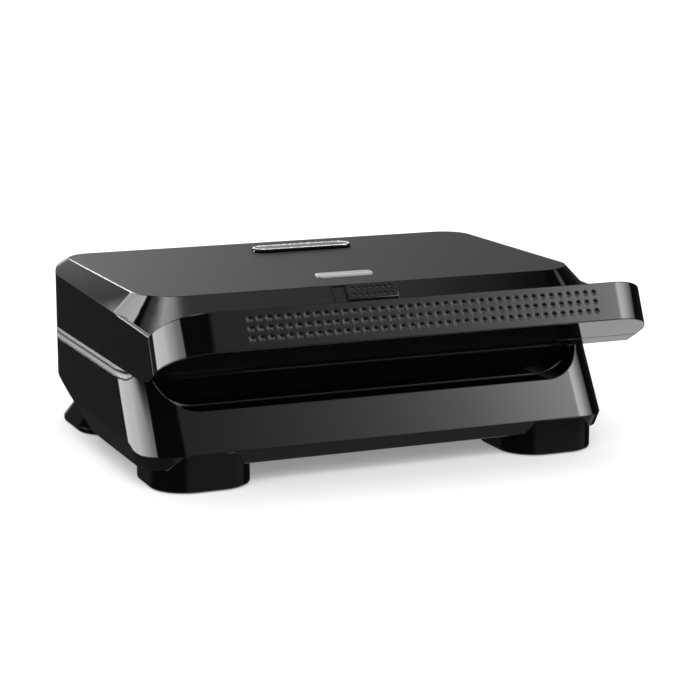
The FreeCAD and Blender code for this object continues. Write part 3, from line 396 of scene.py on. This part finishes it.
def grained_plastic(nodes, place, colours):
    grain = nodes.noise(place, 1700.0, detail=3.0, roughness=0.6)
    wide = nodes.noise(place, 30.0, detail=3.0)
    return {
        "Base Color": nodes.vary(wide, colours.heat_proof, 0.8, 1.25),
        "Roughness": 0.5 + grain * 0.16,
        "Normal": nodes.bump(grain, strength=0.25, distance=0.08 * MM, normal=nodes.bevel(0.3 * MM)),
    }


def plate_coating(nodes, place, colours):
    flecks = nodes.step(nodes.noise(place, 1500.0), 0.62, 0.72)
    film = nodes.noise(place, 55.0, detail=4.0, roughness=0.6)
    peel = nodes.noise(place, 620.0)
    tone = nodes.vary(film, colours.coating, 0.75, 1.25)
    return {
        "Base Color": nodes.mix(flecks * 0.4, tone, shade(colours.coating, 3.2)),
        "Roughness": 0.3 + film * 0.14 + flecks * 0.05,
        "Metallic": 0.25 + flecks * 0.4,
        "Normal": nodes.bump(peel, strength=0.18, distance=0.06 * MM),
    }


def heater_steel(nodes, place, colours):
    heat = nodes.noise(place, 34.0, detail=3.0)
    scale = nodes.noise(place, 700.0, detail=4.0, roughness=0.65)
    tinted = nodes.mix(heat, shade(colours.element, 0.6), colours.straw)
    return {
        "Base Color": nodes.mix(scale * 0.5, tinted, colours.element),
        "Roughness": 0.32 + scale * 0.25,
        "Metallic": 1.0,
        "Normal": nodes.bump(scale, strength=0.15, distance=0.05 * MM),
    }


def rolled_sheet(nodes, place, colours):
    lines = nodes.streaks(place, (18.0, 900.0, 900.0), detail=4.0)
    return {
        "Base Color": nodes.vary(lines, colours.sheet, 0.86, 1.0),
        "Roughness": 0.2 + lines * 0.16,
        "Metallic": 1.0,
        "Normal": nodes.bump(lines, strength=0.12, distance=0.03 * MM),
    }


def ceramic(nodes, place, colours):
    mottle = nodes.noise(place, 210.0, detail=4.0, roughness=0.6)
    return {
        "Base Color": nodes.vary(mottle, colours.ceramic, 0.9, 1.0),
        "Roughness": 0.42 + mottle * 0.12,
        "Normal": nodes.bump(mottle, strength=0.1, distance=0.1 * MM, normal=nodes.bevel(0.4 * MM)),
    }


def pad_rubber(nodes, place, colours):
    grain = nodes.noise(place, 1300.0, detail=4.0, roughness=0.65)
    bloom = nodes.noise(place, 90.0, detail=3.0)
    return {
        "Base Color": nodes.vary(bloom, colours.rubber, 0.8, 1.6),
        "Roughness": 0.68 + grain * 0.18,
        "Normal": nodes.bump(grain, strength=0.3, distance=0.1 * MM),
    }


def frosted_lens(nodes, place, colours):
    frost = nodes.streaks(place, (60.0, 340.0, 340.0), detail=3.0)
    return {
        "Base Color": nodes.vary(frost, colours.lens, 0.82, 1.12),
        "Roughness": 0.2 + frost * 0.12,
        "Coat Weight": 0.15,
        "Coat Roughness": 0.06,
        "Normal": nodes.bevel(0.3 * MM),
    }


def circuit_board(nodes, place, colours):
    x, y, _ = nodes.split(place)
    cells = nodes.add("ShaderNodeTexVoronoi", {"distance": "MANHATTAN", "feature": "F1"},
                      {"Vector": place, "Scale": 420.0})
    track = nodes.step(cells, 0.52, 0.6)
    threads = 9000.0
    weave = nodes.math("SINE", x * threads) * nodes.math("SINE", y * threads)
    return {
        "Base Color": nodes.vary(track, colours.board, 1.0, 1.9),
        "Roughness": 0.34 + weave * 0.05,
        "Normal": nodes.bump(track, strength=0.3, distance=0.05 * MM),
    }


def brushed_steel(nodes, place, colours):
    lines = nodes.streaks(place, (25.0, 1300.0, 1300.0), detail=4.0, roughness=0.6)
    return {
        "Base Color": nodes.vary(lines, colours.hinge, 0.8, 1.15),
        "Roughness": 0.26 + lines * 0.16,
        "Metallic": 1.0,
        "Normal": nodes.bump(lines, strength=0.12, distance=0.03 * MM, normal=nodes.bevel(0.3 * MM)),
    }


def trim_bead(nodes, place, colours):
    drawn = nodes.streaks(place, (1500.0, 30.0, 1500.0), detail=3.0)
    return {
        "Base Color": nodes.vary(drawn, colours.bead, 0.9, 1.1),
        "Roughness": 0.3 + drawn * 0.12,
        "Normal": nodes.bump(drawn, strength=0.06, distance=0.02 * MM, normal=nodes.bevel(0.8 * MM)),
    }


def rim_silver(nodes, place, colours):
    grain = nodes.noise(place, 500.0, detail=3.0)
    return {
        "Base Color": nodes.vary(grain, colours.lens, 1.5, 1.9),
        "Roughness": 0.22 + grain * 0.1,
        "Metallic": 0.6,
    }


# Writers of the finishes, and the CAD nodes that wear each.
FINISHES = {
    shell_gloss: ("lid_cover", "base_housing"),
    foot_gloss: ("front_left_foot", "front_right_foot", "rear_left_foot", "rear_right_foot", "lid_plaque"),
    slider_satin: (),
    grained_plastic: ("base_floor", "base_frame", "lid_frame", "latch_carriage"),
    plate_coating: ("lower_plate", "upper_plate"),
    heater_steel: ("lower_heater", "upper_heater", "lower_thermostat", "upper_thermostat", "thermal_fuse"),
    rolled_sheet: ("lower_reflector", "upper_reflector"),
    ceramic: ("terminal_block",),
    pad_rubber: ("cord_gland", "front_left_foot_pad", "front_right_foot_pad", "rear_left_foot_pad",
                 "rear_right_foot_pad"),
    frosted_lens: ("indicator_lens",),
    circuit_board: ("lamp_board",),
    brushed_steel: ("left_hinge_bracket", "right_hinge_bracket", "left_hinge_arm", "right_hinge_arm",
                    "left_hinge_pin", "right_hinge_pin"),
    trim_bead: ("base_left_bead", "base_right_bead", "lid_left_bead", "lid_right_bead"),
    rim_silver: (),
}


class SANDWICH_OT_finishes(bpy.types.Operator):
    """Write the finishes and put them on the CAD pieces"""
    bl_idname = "sandwich.finishes"
    bl_label = "Finishes"

    def execute(self, context):
        for write, nodes in FINISHES.items():
            dress(finish(write), nodes)
        return {"FINISHED"}


def add_object(name, data):
    thing = bpy.data.objects.new(name, data)
    bpy.context.scene.collection.objects.link(thing)
    return thing


def make_plain(piece):
    """Put a piece's evaluated mesh in the place of its modifiers."""
    plain = bpy.data.meshes.new_from_object(
        piece.evaluated_get(bpy.context.evaluated_depsgraph_get()))
    piece.modifiers.clear()
    piece.data = plain
    if not plain.polygons:
        raise RuntimeError(f"{piece.name} came out empty")


def even_normals(piece):
    """Large faces keep their own direction beside rounded ones."""
    weigh = piece.modifiers.new("weigh", "WEIGHTED_NORMAL")
    weigh.mode = "FACE_AREA"
    weigh.weight = 100
    weigh.keep_sharp = True
    make_plain(piece)


def stand_in(piece, node, body):
    """Let a piece ride on a body in the place of a CAD node."""
    even_normals(piece)
    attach(piece, body)
    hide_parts(node)


def merged_copy(node):
    """A CAD node's mesh with its loose triangles joined."""
    shape = bmesh.new()
    shape.from_mesh(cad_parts[node].data)
    bmesh.ops.remove_doubles(shape, verts=shape.verts, dist=JOIN)
    bmesh.ops.dissolve_limit(shape, angle_limit=FLAT, verts=shape.verts, edges=shape.edges)
    bmesh.ops.recalc_face_normals(shape, faces=shape.faces)
    clean = bpy.data.meshes.new(node + "_merged")
    shape.to_mesh(clean)
    shape.free()
    return clean


def geometry_tree(name, inputs):
    """An empty node tree for a piece: returns its nodes and its inputs by name."""
    tree = bpy.data.node_groups.new(name, "GeometryNodeTree")
    nodes = Nodes(tree)
    for label, kind in inputs.items():
        tree.interface.new_socket(label, in_out="INPUT", socket_type="NodeSocket" + kind)
    tree.interface.new_socket("Geometry", in_out="OUTPUT", socket_type="NodeSocketGeometry")
    node = nodes.add("NodeGroupInput").socket.node
    return nodes, {socket.name: Value(nodes, socket) for socket in node.outputs if socket.name}


def close_tree(nodes, geometry, material):
    """Sharp edges by angle, then plain geometry with its finish."""
    bend = nodes.add("GeometryNodeInputMeshEdgeAngle")
    sharp = nodes.add("FunctionNodeCompare", {"data_type": "FLOAT", "operation": "GREATER_THAN"},
                      {0: bend, 1: SHARP})
    smooth = nodes.add("GeometryNodeSetShadeSmooth", {"domain": "FACE"}, {"Geometry": geometry})
    split = nodes.add("GeometryNodeSetShadeSmooth", {"domain": "EDGE"},
                      {"Geometry": smooth, "Selection": sharp, "Shade Smooth": False})
    plain = nodes.add("GeometryNodeRealizeInstances", None, {"Geometry": split})
    dressed = nodes.add("GeometryNodeSetMaterial", None, {"Geometry": plain, "Material": material})
    nodes.add("NodeGroupOutput", None, {"Geometry": dressed})
    return nodes.tree


def run_tree(name, mesh, tree, values):
    """A plain mesh object made by a node tree from a start mesh."""
    piece = add_object(name, mesh)
    maker = piece.modifiers.new("maker", "NODES")
    maker.node_group = tree
    for item in tree.interface.items_tree:
        if item.in_out == "INPUT" and item.name in values:
            maker[item.identifier] = values[item.name]
    make_plain(piece)
    return piece


def cut_away(nodes, shape, cutter):
    return nodes.add("GeometryNodeMeshBoolean", {"operation": "DIFFERENCE", "solver": "EXACT"},
                     {"Mesh 1": shape, "Mesh 2": cutter})


def pit_tree():
    """Round pits in rows, cut into a face."""
    nodes, given = geometry_tree("pit_field", {
        "Geometry": "Geometry", "Columns": "Int", "Rows": "Int", "Pitch": "Float", "Row pitch": "Float",
        "Place": "Vector", "Tilt": "Vector", "Ball": "Float", "Finish": "Material"})
    grid = nodes.add("GeometryNodeMeshGrid", None, {
        "Size X": (given["Columns"] - 1.0) * given["Pitch"],
        "Size Y": (given["Rows"] - 1.0) * given["Row pitch"],
        "Vertices X": given["Columns"], "Vertices Y": given["Rows"]})
    laid = nodes.add("GeometryNodeTransform", None, {
        "Geometry": grid, "Translation": given["Place"], "Rotation": given["Tilt"]})
    ball = nodes.add("GeometryNodeMeshUVSphere", None, {
        "Segments": 20, "Rings": 14, "Radius": given["Ball"]})
    balls = nodes.add("GeometryNodeInstanceOnPoints", None, {"Points": laid, "Instance": ball})
    loose = nodes.add("GeometryNodeRealizeInstances", None, {"Geometry": balls})
    return close_tree(nodes, cut_away(nodes, given["Geometry"], loose), given["Finish"])


def cut_pits(name, node, kind, finish_name, middle, slope):
    """A copy of a CAD node with pits, of the handle's or the slider's sizes, cut into its sloping face."""
    sizes = settings("grip_sizes")
    columns, rows, pitch, row_pitch, pit, depth = (
        getattr(sizes, f"{kind}_{size}") for size in ("columns", "rows", "pitch", "row_pitch", "pit", "depth"))
    ball = (pit * pit + depth * depth) / (2 * depth)
    outward = Vector((0, -math.sin(slope), math.cos(slope)))
    tree = bpy.data.node_groups.get("pit_field") or pit_tree()
    return run_tree(name, merged_copy(node), tree, {
        "Columns": columns, "Rows": rows, "Pitch": pitch, "Row pitch": row_pitch,
        "Place": middle + outward * (ball - depth), "Tilt": (slope, 0.0, 0.0), "Ball": ball,
        "Finish": made(finish_name)})


class SANDWICH_OT_handle_grip(bpy.types.Operator):
    """Cut the rows of pits into the handle's front face"""
    bl_idname = "sandwich.handle_grip"
    bl_label = "Handle grip"

    def execute(self, context):
        sizes = settings("grip_sizes")
        foot = Vector((0, HANDLE_LOW.y, sizes.face_foot))
        head = Vector((0, -sizes.face_head, HANDLE_HIGH.z))
        run = head - foot
        middle = foot + run * sizes.handle_share + Vector((sizes.handle_shift, 0, 0))
        grip = cut_pits("handle_grip", "handle_bar", "handle", "shell_gloss", middle, math.atan2(run.z, run.y))
        stand_in(grip, "handle_bar", "lid")
        return {"FINISHED"}


class SANDWICH_OT_slider_grip(bpy.types.Operator):
    """Cut the rows of pits into the latch slider"""
    bl_idname = "sandwich.slider_grip"
    bl_label = "Slider grip"

    def execute(self, context):
        front = max(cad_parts["latch_slider"].data.polygons, key=self.forward_area)
        normal = front.normal
        middle = (SLIDER_LOW + SLIDER_HIGH) / 2
        middle += normal * (front.center - middle).dot(normal)
        grip = cut_pits("slider_grip", "latch_slider", "slider", "slider_satin", middle,
                        math.atan2(-normal.y, normal.z))
        stand_in(grip, "latch_slider", "latch")
        return {"FINISHED"}

    @staticmethod
    def forward_area(face):
        """Area of a face that looks forwards and up, and nothing for any other."""
        return face.area if face.normal.y < -0.5 and face.normal.z > 0.3 else 0


def reshaped(name, node, finish_name, move):
    """A copy of a CAD node whose points are moved."""
    mesh = merged_copy(node)
    for vertex in mesh.vertices:
        vertex.co = move(vertex.co)
    mesh.materials.append(made(finish_name))
    mesh.shade_smooth()
    mesh.set_sharp_from_angle(angle=SHARP)
    return add_object(name, mesh)


class SANDWICH_OT_side_beads(bpy.types.Operator):
    """Slim the beads along the sides so that a dark gap shows beside each"""
    bl_idname = "sandwich.side_beads"
    bl_label = "Side beads"

    def execute(self, context):
        gap = settings("trim_sizes").bead_gap
        for body in ("base", "lid"):
            for side in SIDES:
                node = f"{body}_{side}_bead"
                low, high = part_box(node)
                top = high.z - gap if body == "lid" else high.z
                share = (top - low.z - gap) / (high.z - low.z)

                def move(point, low=low, share=share):
                    return Vector((point.x, point.y, low.z + gap + (point.z - low.z) * share))

                bead = reshaped(f"{node}_slim", node, "trim_bead", move)
                stand_in(bead, node, body)
        return {"FINISHED"}


class SANDWICH_OT_low_lens(bpy.types.Operator):
    """Set the indicator lens lower in the lid"""
    bl_idname = "sandwich.low_lens"
    bl_label = "Low lens"

    def execute(self, context):
        share = settings("trim_sizes").lens_share

        def move(point):
            rise = max(0.0, point.z - LID_HIGH.z)
            return Vector((point.x, point.y, point.z - rise * (1.0 - share)))

        stand_in(reshaped("lens_bar", "indicator_lens", "frosted_lens", move), "indicator_lens", "lid")
        return {"FINISHED"}


def rim_tree():
    """Wire bent to a rectangle with round ends."""
    nodes, given = geometry_tree("plaque_rim", {
        "Geometry": "Geometry", "Width": "Float", "Depth": "Float", "Wire": "Float", "Place": "Vector",
        "Finish": "Material"})
    just_under_half = 0.49
    line = nodes.add("GeometryNodeCurvePrimitiveQuadrilateral", None,
                     {"Width": given["Width"], "Height": given["Depth"]})
    bent = nodes.add("GeometryNodeFilletCurve", {"mode": "POLY"}, {
        "Curve": line, "Count": 16, "Radius": given["Depth"] * just_under_half, "Limit Radius": True})
    wire = nodes.add("GeometryNodeCurvePrimitiveCircle", None, {"Resolution": 12, "Radius": given["Wire"]})
    ring = nodes.add("GeometryNodeCurveToMesh", None, {"Curve": bent, "Profile Curve": wire})
    placed = nodes.add("GeometryNodeTransform", None, {"Geometry": ring, "Translation": given["Place"]})
    return close_tree(nodes, placed, given["Finish"])


class SANDWICH_OT_plaque_rim(bpy.types.Operator):
    """Lay the bright rim round the bare plaque"""
    bl_idname = "sandwich.plaque_rim"
    bl_label = "Plaque rim"

    def execute(self, context):
        sizes = settings("trim_sizes")
        size = PLAQUE_HIGH - PLAQUE_LOW
        middle = (PLAQUE_LOW + PLAQUE_HIGH) / 2
        rim = run_tree("plaque_rim", bpy.data.meshes.new("plaque_rim"), rim_tree(), {
            "Width": size.x - 2 * sizes.rim_inset, "Depth": size.y - 2 * sizes.rim_inset,
            "Wire": sizes.rim_wire, "Place": (middle.x, middle.y, PLAQUE_HIGH.z - sizes.rim_sink),
            "Finish": made("rim_silver")})
        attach(rim, "lid")
        return {"FINISHED"}


def screw_tree():
    """Screw heads with a cross, one on each point, turned to face one way."""
    nodes, given = geometry_tree("screw_heads", {
        "Geometry": "Geometry", "Radius": "Float", "Height": "Float", "Cross": "Float", "Facing": "Vector",
        "Finish": "Material"})
    taper, span = 0.72, 1.1
    head = nodes.add("GeometryNodeMeshCone", None, {
        "Vertices": 28, "Radius Top": given["Radius"] * taper, "Radius Bottom": given["Radius"],
        "Depth": given["Height"]})
    size = nodes.add("ShaderNodeCombineXYZ", None, {
        "X": given["Radius"] * span, "Y": given["Cross"], "Z": given["Height"]})
    rise = nodes.add("ShaderNodeCombineXYZ", None, {"Z": given["Height"]})
    for turn in (0.0, math.pi / 2):
        bar = nodes.add("GeometryNodeMeshCube", None, {"Size": size})
        raised = nodes.add("GeometryNodeTransform", None, {
            "Geometry": bar, "Translation": rise, "Rotation": (0.0, 0.0, turn)})
        head = cut_away(nodes, head, raised)
    facing = nodes.add("FunctionNodeEulerToRotation", None, {"Euler": given["Facing"]})
    heads = nodes.add("GeometryNodeInstanceOnPoints", None, {
        "Points": given["Geometry"], "Instance": head, "Rotation": facing})
    loose = nodes.add("GeometryNodeRealizeInstances", None, {"Geometry": heads})
    return close_tree(nodes, loose, given["Finish"])


class SANDWICH_OT_screws(bpy.types.Operator):
    """Set screws in the bottom cover, the hinge brackets and the hinge arms"""
    bl_idname = "sandwich.screws"
    bl_label = "Screws"

    def execute(self, context):
        sizes = settings("trim_sizes")
        tree = screw_tree()
        groups = {
            "floor_screws": ("base", DOWNWARDS, [
                (side * x, y, FLOOR_LOW.z) for side in (-1, 1) for x, y in COVER_SCREWS]),
            "bracket_screws": ("base", REARWARDS, self.on_brackets()),
            "arm_screws": ("lid", REARWARDS, self.on_arms()),
        }
        for name, (body, facing, places) in groups.items():
            points = bpy.data.meshes.new(name)
            points.from_pydata(places, [], [])
            heads = run_tree(name, points, tree, {
                "Radius": sizes.screw_radius, "Height": sizes.screw_height, "Cross": sizes.slot_width,
                "Facing": facing, "Finish": made("brushed_steel")})
            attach(heads, body)
        return {"FINISHED"}

    @staticmethod
    def on_brackets():
        """Two places side by side low on each bracket's plate."""
        places = []
        for side in SIDES:
            low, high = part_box(f"{side}_hinge_bracket")
            middle = (low.x + high.x) / 2
            level = low.z + (high.z - low.z) * BRACKET_LEVEL
            places += [(middle + step, low.y + HINGE_PLATE, level) for step in (-BRACKET_APART, BRACKET_APART)]
        return places

    @staticmethod
    def on_arms():
        """Two places above each other on each arm's strap."""
        places = []
        for side in SIDES:
            low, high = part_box(f"{side}_hinge_arm")
            places += [((low.x + high.x) / 2, low.y + HINGE_PLATE, high.z - drop) for drop in ARM_DROPS]
        return places


class SANDWICH_OT_reflections(bpy.types.Operator):
    """Leave the lid and the handle out of reflections, so that the base below them mirrors the studio"""
    bl_idname = "sandwich.reflections"
    bl_label = "Reflections"

    def execute(self, context):
        for piece in (bpy.data.objects["handle_grip"], *(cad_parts[node] for node in UNMIRRORED)):
            piece.visible_glossy = False
        return {"FINISHED"}


class Mirrored:
    """What gloss mirrors: panels painted on the world by direction.

    Directions are in degrees: front is the turn from straight ahead of the object, back the turn from straight
    behind it, both growing to the right, and rise is the height above the horizon. Roof places are those on a
    ceiling one unit up.
    """
    FILL = 0.018

    def __init__(self, nodes):
        x, y, z = nodes.split(nodes.add("ShaderNodeTexCoord", output="Generated"))
        degrees = 180.0 / math.pi
        lowest_roof = 0.15
        over = nodes.math("MAXIMUM", z, lowest_roof)
        self.nodes = nodes
        self.front = nodes.math("ARCTAN2", x, 0.0 - y) * degrees
        self.back = nodes.math("ARCTAN2", x, y) * degrees
        self.rise = nodes.math("ARCSINE", z) * degrees
        self.roof_x, self.roof_y = x / over, y / over

    def light(self):
        return self.FILL + self.left_strips() + self.right_panel() + self.roof_panel() + self.rear_wall() + (
            self.low_light())

    def left_strips(self):
        """Two strips on the left that climb towards the front, brightest straight to the left."""
        nodes, front, rise = self.nodes, self.front, self.rise
        level = nodes.curve(front, [
            (-170, 3.2), (-158, 3.4), (-149, 5.0), (-129, 8.4), (-108, 11.4), (-99, 9.6), (-84, 7.0),
            (-73, 4.6), (-60, 3.2), (-50, 2.4)])
        ahead = front + 107.0
        low_strip = nodes.step(front, -153, -149) * nodes.step(rise, -12.3, -11.5) * nodes.step(
            rise - ahead * 0.42, 0, 2.5) * nodes.step(rise - ahead * 0.5, 13, 11) * nodes.step(
            front + (rise - 22.0) * 0.66, -60, -62)
        climb = rise - (front + 168.0) * 0.68
        high_strip = nodes.band(climb, 10, 13, 22, 26) * nodes.band(
            front, -169, -166, -118, -112) * nodes.step(rise, 52, 50)
        return level * nodes.math("MAXIMUM", low_strip, high_strip)

    def right_panel(self):
        """A leaning panel on the right, which fades towards the front and widens downwards at the side."""
        nodes, front, rise = self.nodes, self.front, self.rise
        beyond = nodes.math("MAXIMUM", front - 41.0, 0.0)
        return nodes.curve(front - (rise - 29.0) * 0.27, [
            (8, 0.0), (14, 0.16), (20, 0.42), (23, 0.56), (26, 0.92), (28, 1.25), (30, 1.75), (32, 2.6),
            (34, 4.4), (38, 8.4), (43, 12.5), (55, 10.0), (63, 7.5), (72, 4.4), (78, 3.2), (86, 1.4), (92, 0.0),
        ]) * nodes.step(rise + beyond * 0.6, 13.5, 18) * nodes.step(rise + beyond * 0.16, 50, 46)

    def roof_panel(self):
        """A panel overhead, brightest left of the middle."""
        nodes = self.nodes
        return nodes.curve(self.roof_x, [
            (-0.66, 0.0), (-0.59, 0.77), (-0.51, 1.2), (-0.44, 3.0), (-0.375, 5.4), (-0.31, 8.3), (-0.2, 7.4),
            (-0.06, 5.3), (0.086, 2.2), (0.2, 1.1), (0.35, 0.86), (0.47, 0.70), (0.56, 0.06), (0.62, 0.0),
        ]) * nodes.band(self.roof_y, -0.9, -0.6, 0.12, 0.24) * nodes.step(self.rise, 49, 54)

    def rear_wall(self):
        """A dim wall behind, lighter at its foot, with a short bright strip above that."""
        nodes, back, rise = self.nodes, self.back, self.rise
        wall = nodes.curve(back, [
            (-24, 0.0), (-14, 0.10), (-10, 0.31), (-5, 0.52), (5, 0.52), (15, 0.42), (20, 0.30), (27, 0.17),
            (36, 0.10), (60, 0.03), (80, 0.0)]) * nodes.band(rise, -9, 1, 40, 70)
        foot = nodes.curve(back, [
            (-8, 0.0), (2, 0.85), (16, 0.70), (26, 0.13), (44, 0.0), (60, 0.0),
        ]) * nodes.band(rise, -3, 3, 13, 17)
        strip = 14.0 * nodes.band(back, -4, -1, 9, 15) * nodes.band(rise, 17.2, 18.2, 22, 26)
        return wall + foot + strip

    def low_light(self):
        """Faint light from below the horizon: ahead, at the left rear, and from the ground."""
        nodes, front, rise = self.nodes, self.front, self.rise
        ahead = 0.22 * nodes.band(front, -25, -5, 80, 100) * nodes.step(rise, -12.9, -13.7)
        left_rear = 0.045 * nodes.step(front, -130, -150) * nodes.step(rise, 0, -6)
        ground = nodes.step(rise, -26, -36) * (0.12 + 1.25 * nodes.step(front, 85, 125))
        return ahead + left_rear + ground


def ray_kinds(nodes, *names):
    """Outputs of Light Path by name."""
    rays = nodes.add("ShaderNodeLightPath").socket.node.outputs
    return [Value(nodes, rays[name]) for name in names]


def studio_world(studio):
    """White for the camera, even light for surfaces, and a studio of panels for gloss and glass."""
    world = bpy.data.worlds.new("studio")
    world.use_nodes = True
    nodes = Nodes(world.node_tree)
    camera, glossy, glass = ray_kinds(nodes, "Is Camera Ray", "Is Glossy Ray", "Is Transmission Ray")
    seen = nodes.math("MAXIMUM", glossy, glass) * (1.0 - camera)
    even = studio.ambient * (1.0 - seen) * (1.0 - camera)
    light = nodes.add("ShaderNodeBackground", None, {
        "Strength": camera + seen * Mirrored(nodes).light() + even})
    nodes.add("ShaderNodeOutputWorld", None, {"Surface": light})
    return world


def floor_white(studio):
    """Pale floor that takes the object's shadow; its glow is for the camera only."""
    material = bpy.data.materials.new("floor_white")
    material.use_nodes = True
    nodes = Nodes(material.node_tree)
    camera, = ray_kinds(nodes, "Is Camera Ray")
    paper = nodes.add("ShaderNodeBsdfDiffuse", None, {"Color": (*studio.floor_colour, 1.0)})
    glow = nodes.add("ShaderNodeEmission", None, {"Strength": camera * studio.floor_glow})
    surface = nodes.add("ShaderNodeAddShader", None, {0: paper, 1: glow})
    nodes.add("ShaderNodeOutputMaterial", None, {"Surface": surface})
    return material


class SANDWICH_OT_studio(bpy.types.Operator):
    """Set up the camera, the floor and the studio light"""
    bl_idname = "sandwich.studio"
    bl_label = "Studio"

    def execute(self, context):
        studio = settings("studio_settings")
        scene = context.scene
        scene.camera = self.add_camera(studio)
        self.add_floor(studio)
        scene.world = studio_world(studio)
        for name, (share, towards, spread) in LAMPS.items():
            self.add_lamp(name, studio.key_light * share, towards, spread)
        scene.view_settings.view_transform = "Standard"
        return {"FINISHED"}

    @staticmethod
    def add_camera(studio):
        turn, rise = studio.camera_turn, studio.camera_rise
        backwards = Vector((
            math.sin(turn) * math.cos(rise), -math.cos(turn) * math.cos(rise), math.sin(rise)))
        right = Vector((math.cos(turn), math.sin(turn), 0))
        upwards = backwards.cross(right)
        data = bpy.data.cameras.new("camera")
        data.lens = studio.lens
        data.clip_start, data.clip_end = 0.01, 100.0
        camera = add_object("camera", data)
        axes = Matrix((right, upwards, backwards)).transposed().to_4x4()
        camera.matrix_world = Matrix.Translation(studio.camera_place) @ axes
        return camera

    @staticmethod
    def add_floor(studio):
        half = studio.floor_size / 2
        sheet = bpy.data.meshes.new("floor")
        sheet.from_pydata([(-half, -half, 0), (half, -half, 0), (half, half, 0), (-half, half, 0)], [],
                          [(0, 1, 2, 3)])
        sheet.materials.append(floor_white(studio))
        ground = add_object("floor", sheet)
        ground.visible_glossy = False

    @staticmethod
    def add_lamp(name, energy, towards, spread):
        data = bpy.data.lights.new(name, "SUN")
        data.energy = energy
        data.angle = spread
        lamp = add_object(name, data)
        lamp.rotation_mode = "QUATERNION"
        lamp.rotation_quaternion = Vector(towards).to_track_quat("Z", "Y")
        lamp.visible_glossy = False


OPERATORS = (
    SANDWICH_OT_studio, SANDWICH_OT_finishes, SANDWICH_OT_handle_grip, SANDWICH_OT_slider_grip,
    SANDWICH_OT_side_beads, SANDWICH_OT_low_lens, SANDWICH_OT_plaque_rim, SANDWICH_OT_screws,
    SANDWICH_OT_reflections,
)
GROUPS = {
    "grip_sizes": GripSizes,
    "trim_sizes": TrimSizes,
    "finish_colours": FinishColours,
    "studio_settings": StudioSettings,
}


class SANDWICH_PT_panel(bpy.types.Panel):
    """Pieces and finishes of the sandwich maker"""
    bl_idname = "SANDWICH_PT_panel"
    bl_label = "Sandwich maker"
    bl_space_type = "VIEW_3D"
    bl_region_type = "UI"
    bl_category = "Sandwich maker"

    def draw(self, context):
        for operator in OPERATORS:
            self.layout.operator(operator.bl_idname)
        for name, group in GROUPS.items():
            column = self.layout.box().column()
            for item in group.__annotations__:
                column.prop(getattr(context.scene, name), item)


def register():
    for group in GROUPS.values():
        bpy.utils.register_class(group)
    for name, group in GROUPS.items():
        setattr(bpy.types.Scene, name, bpy.props.PointerProperty(type=group))
    for operator in OPERATORS:
        bpy.utils.register_class(operator)
    bpy.utils.register_class(SANDWICH_PT_panel)


def unregister():
    bpy.utils.unregister_class(SANDWICH_PT_panel)
    for operator in reversed(OPERATORS):
        bpy.utils.unregister_class(operator)
    for name in GROUPS:
        delattr(bpy.types.Scene, name)
    for group in reversed(GROUPS.values()):
        bpy.utils.unregister_class(group)


def main():
    register()
    for operator in OPERATORS:
        group, name = operator.bl_idname.split(".")
        getattr(getattr(bpy.ops, group), name)()


if __name__ == "__main__":
    main()
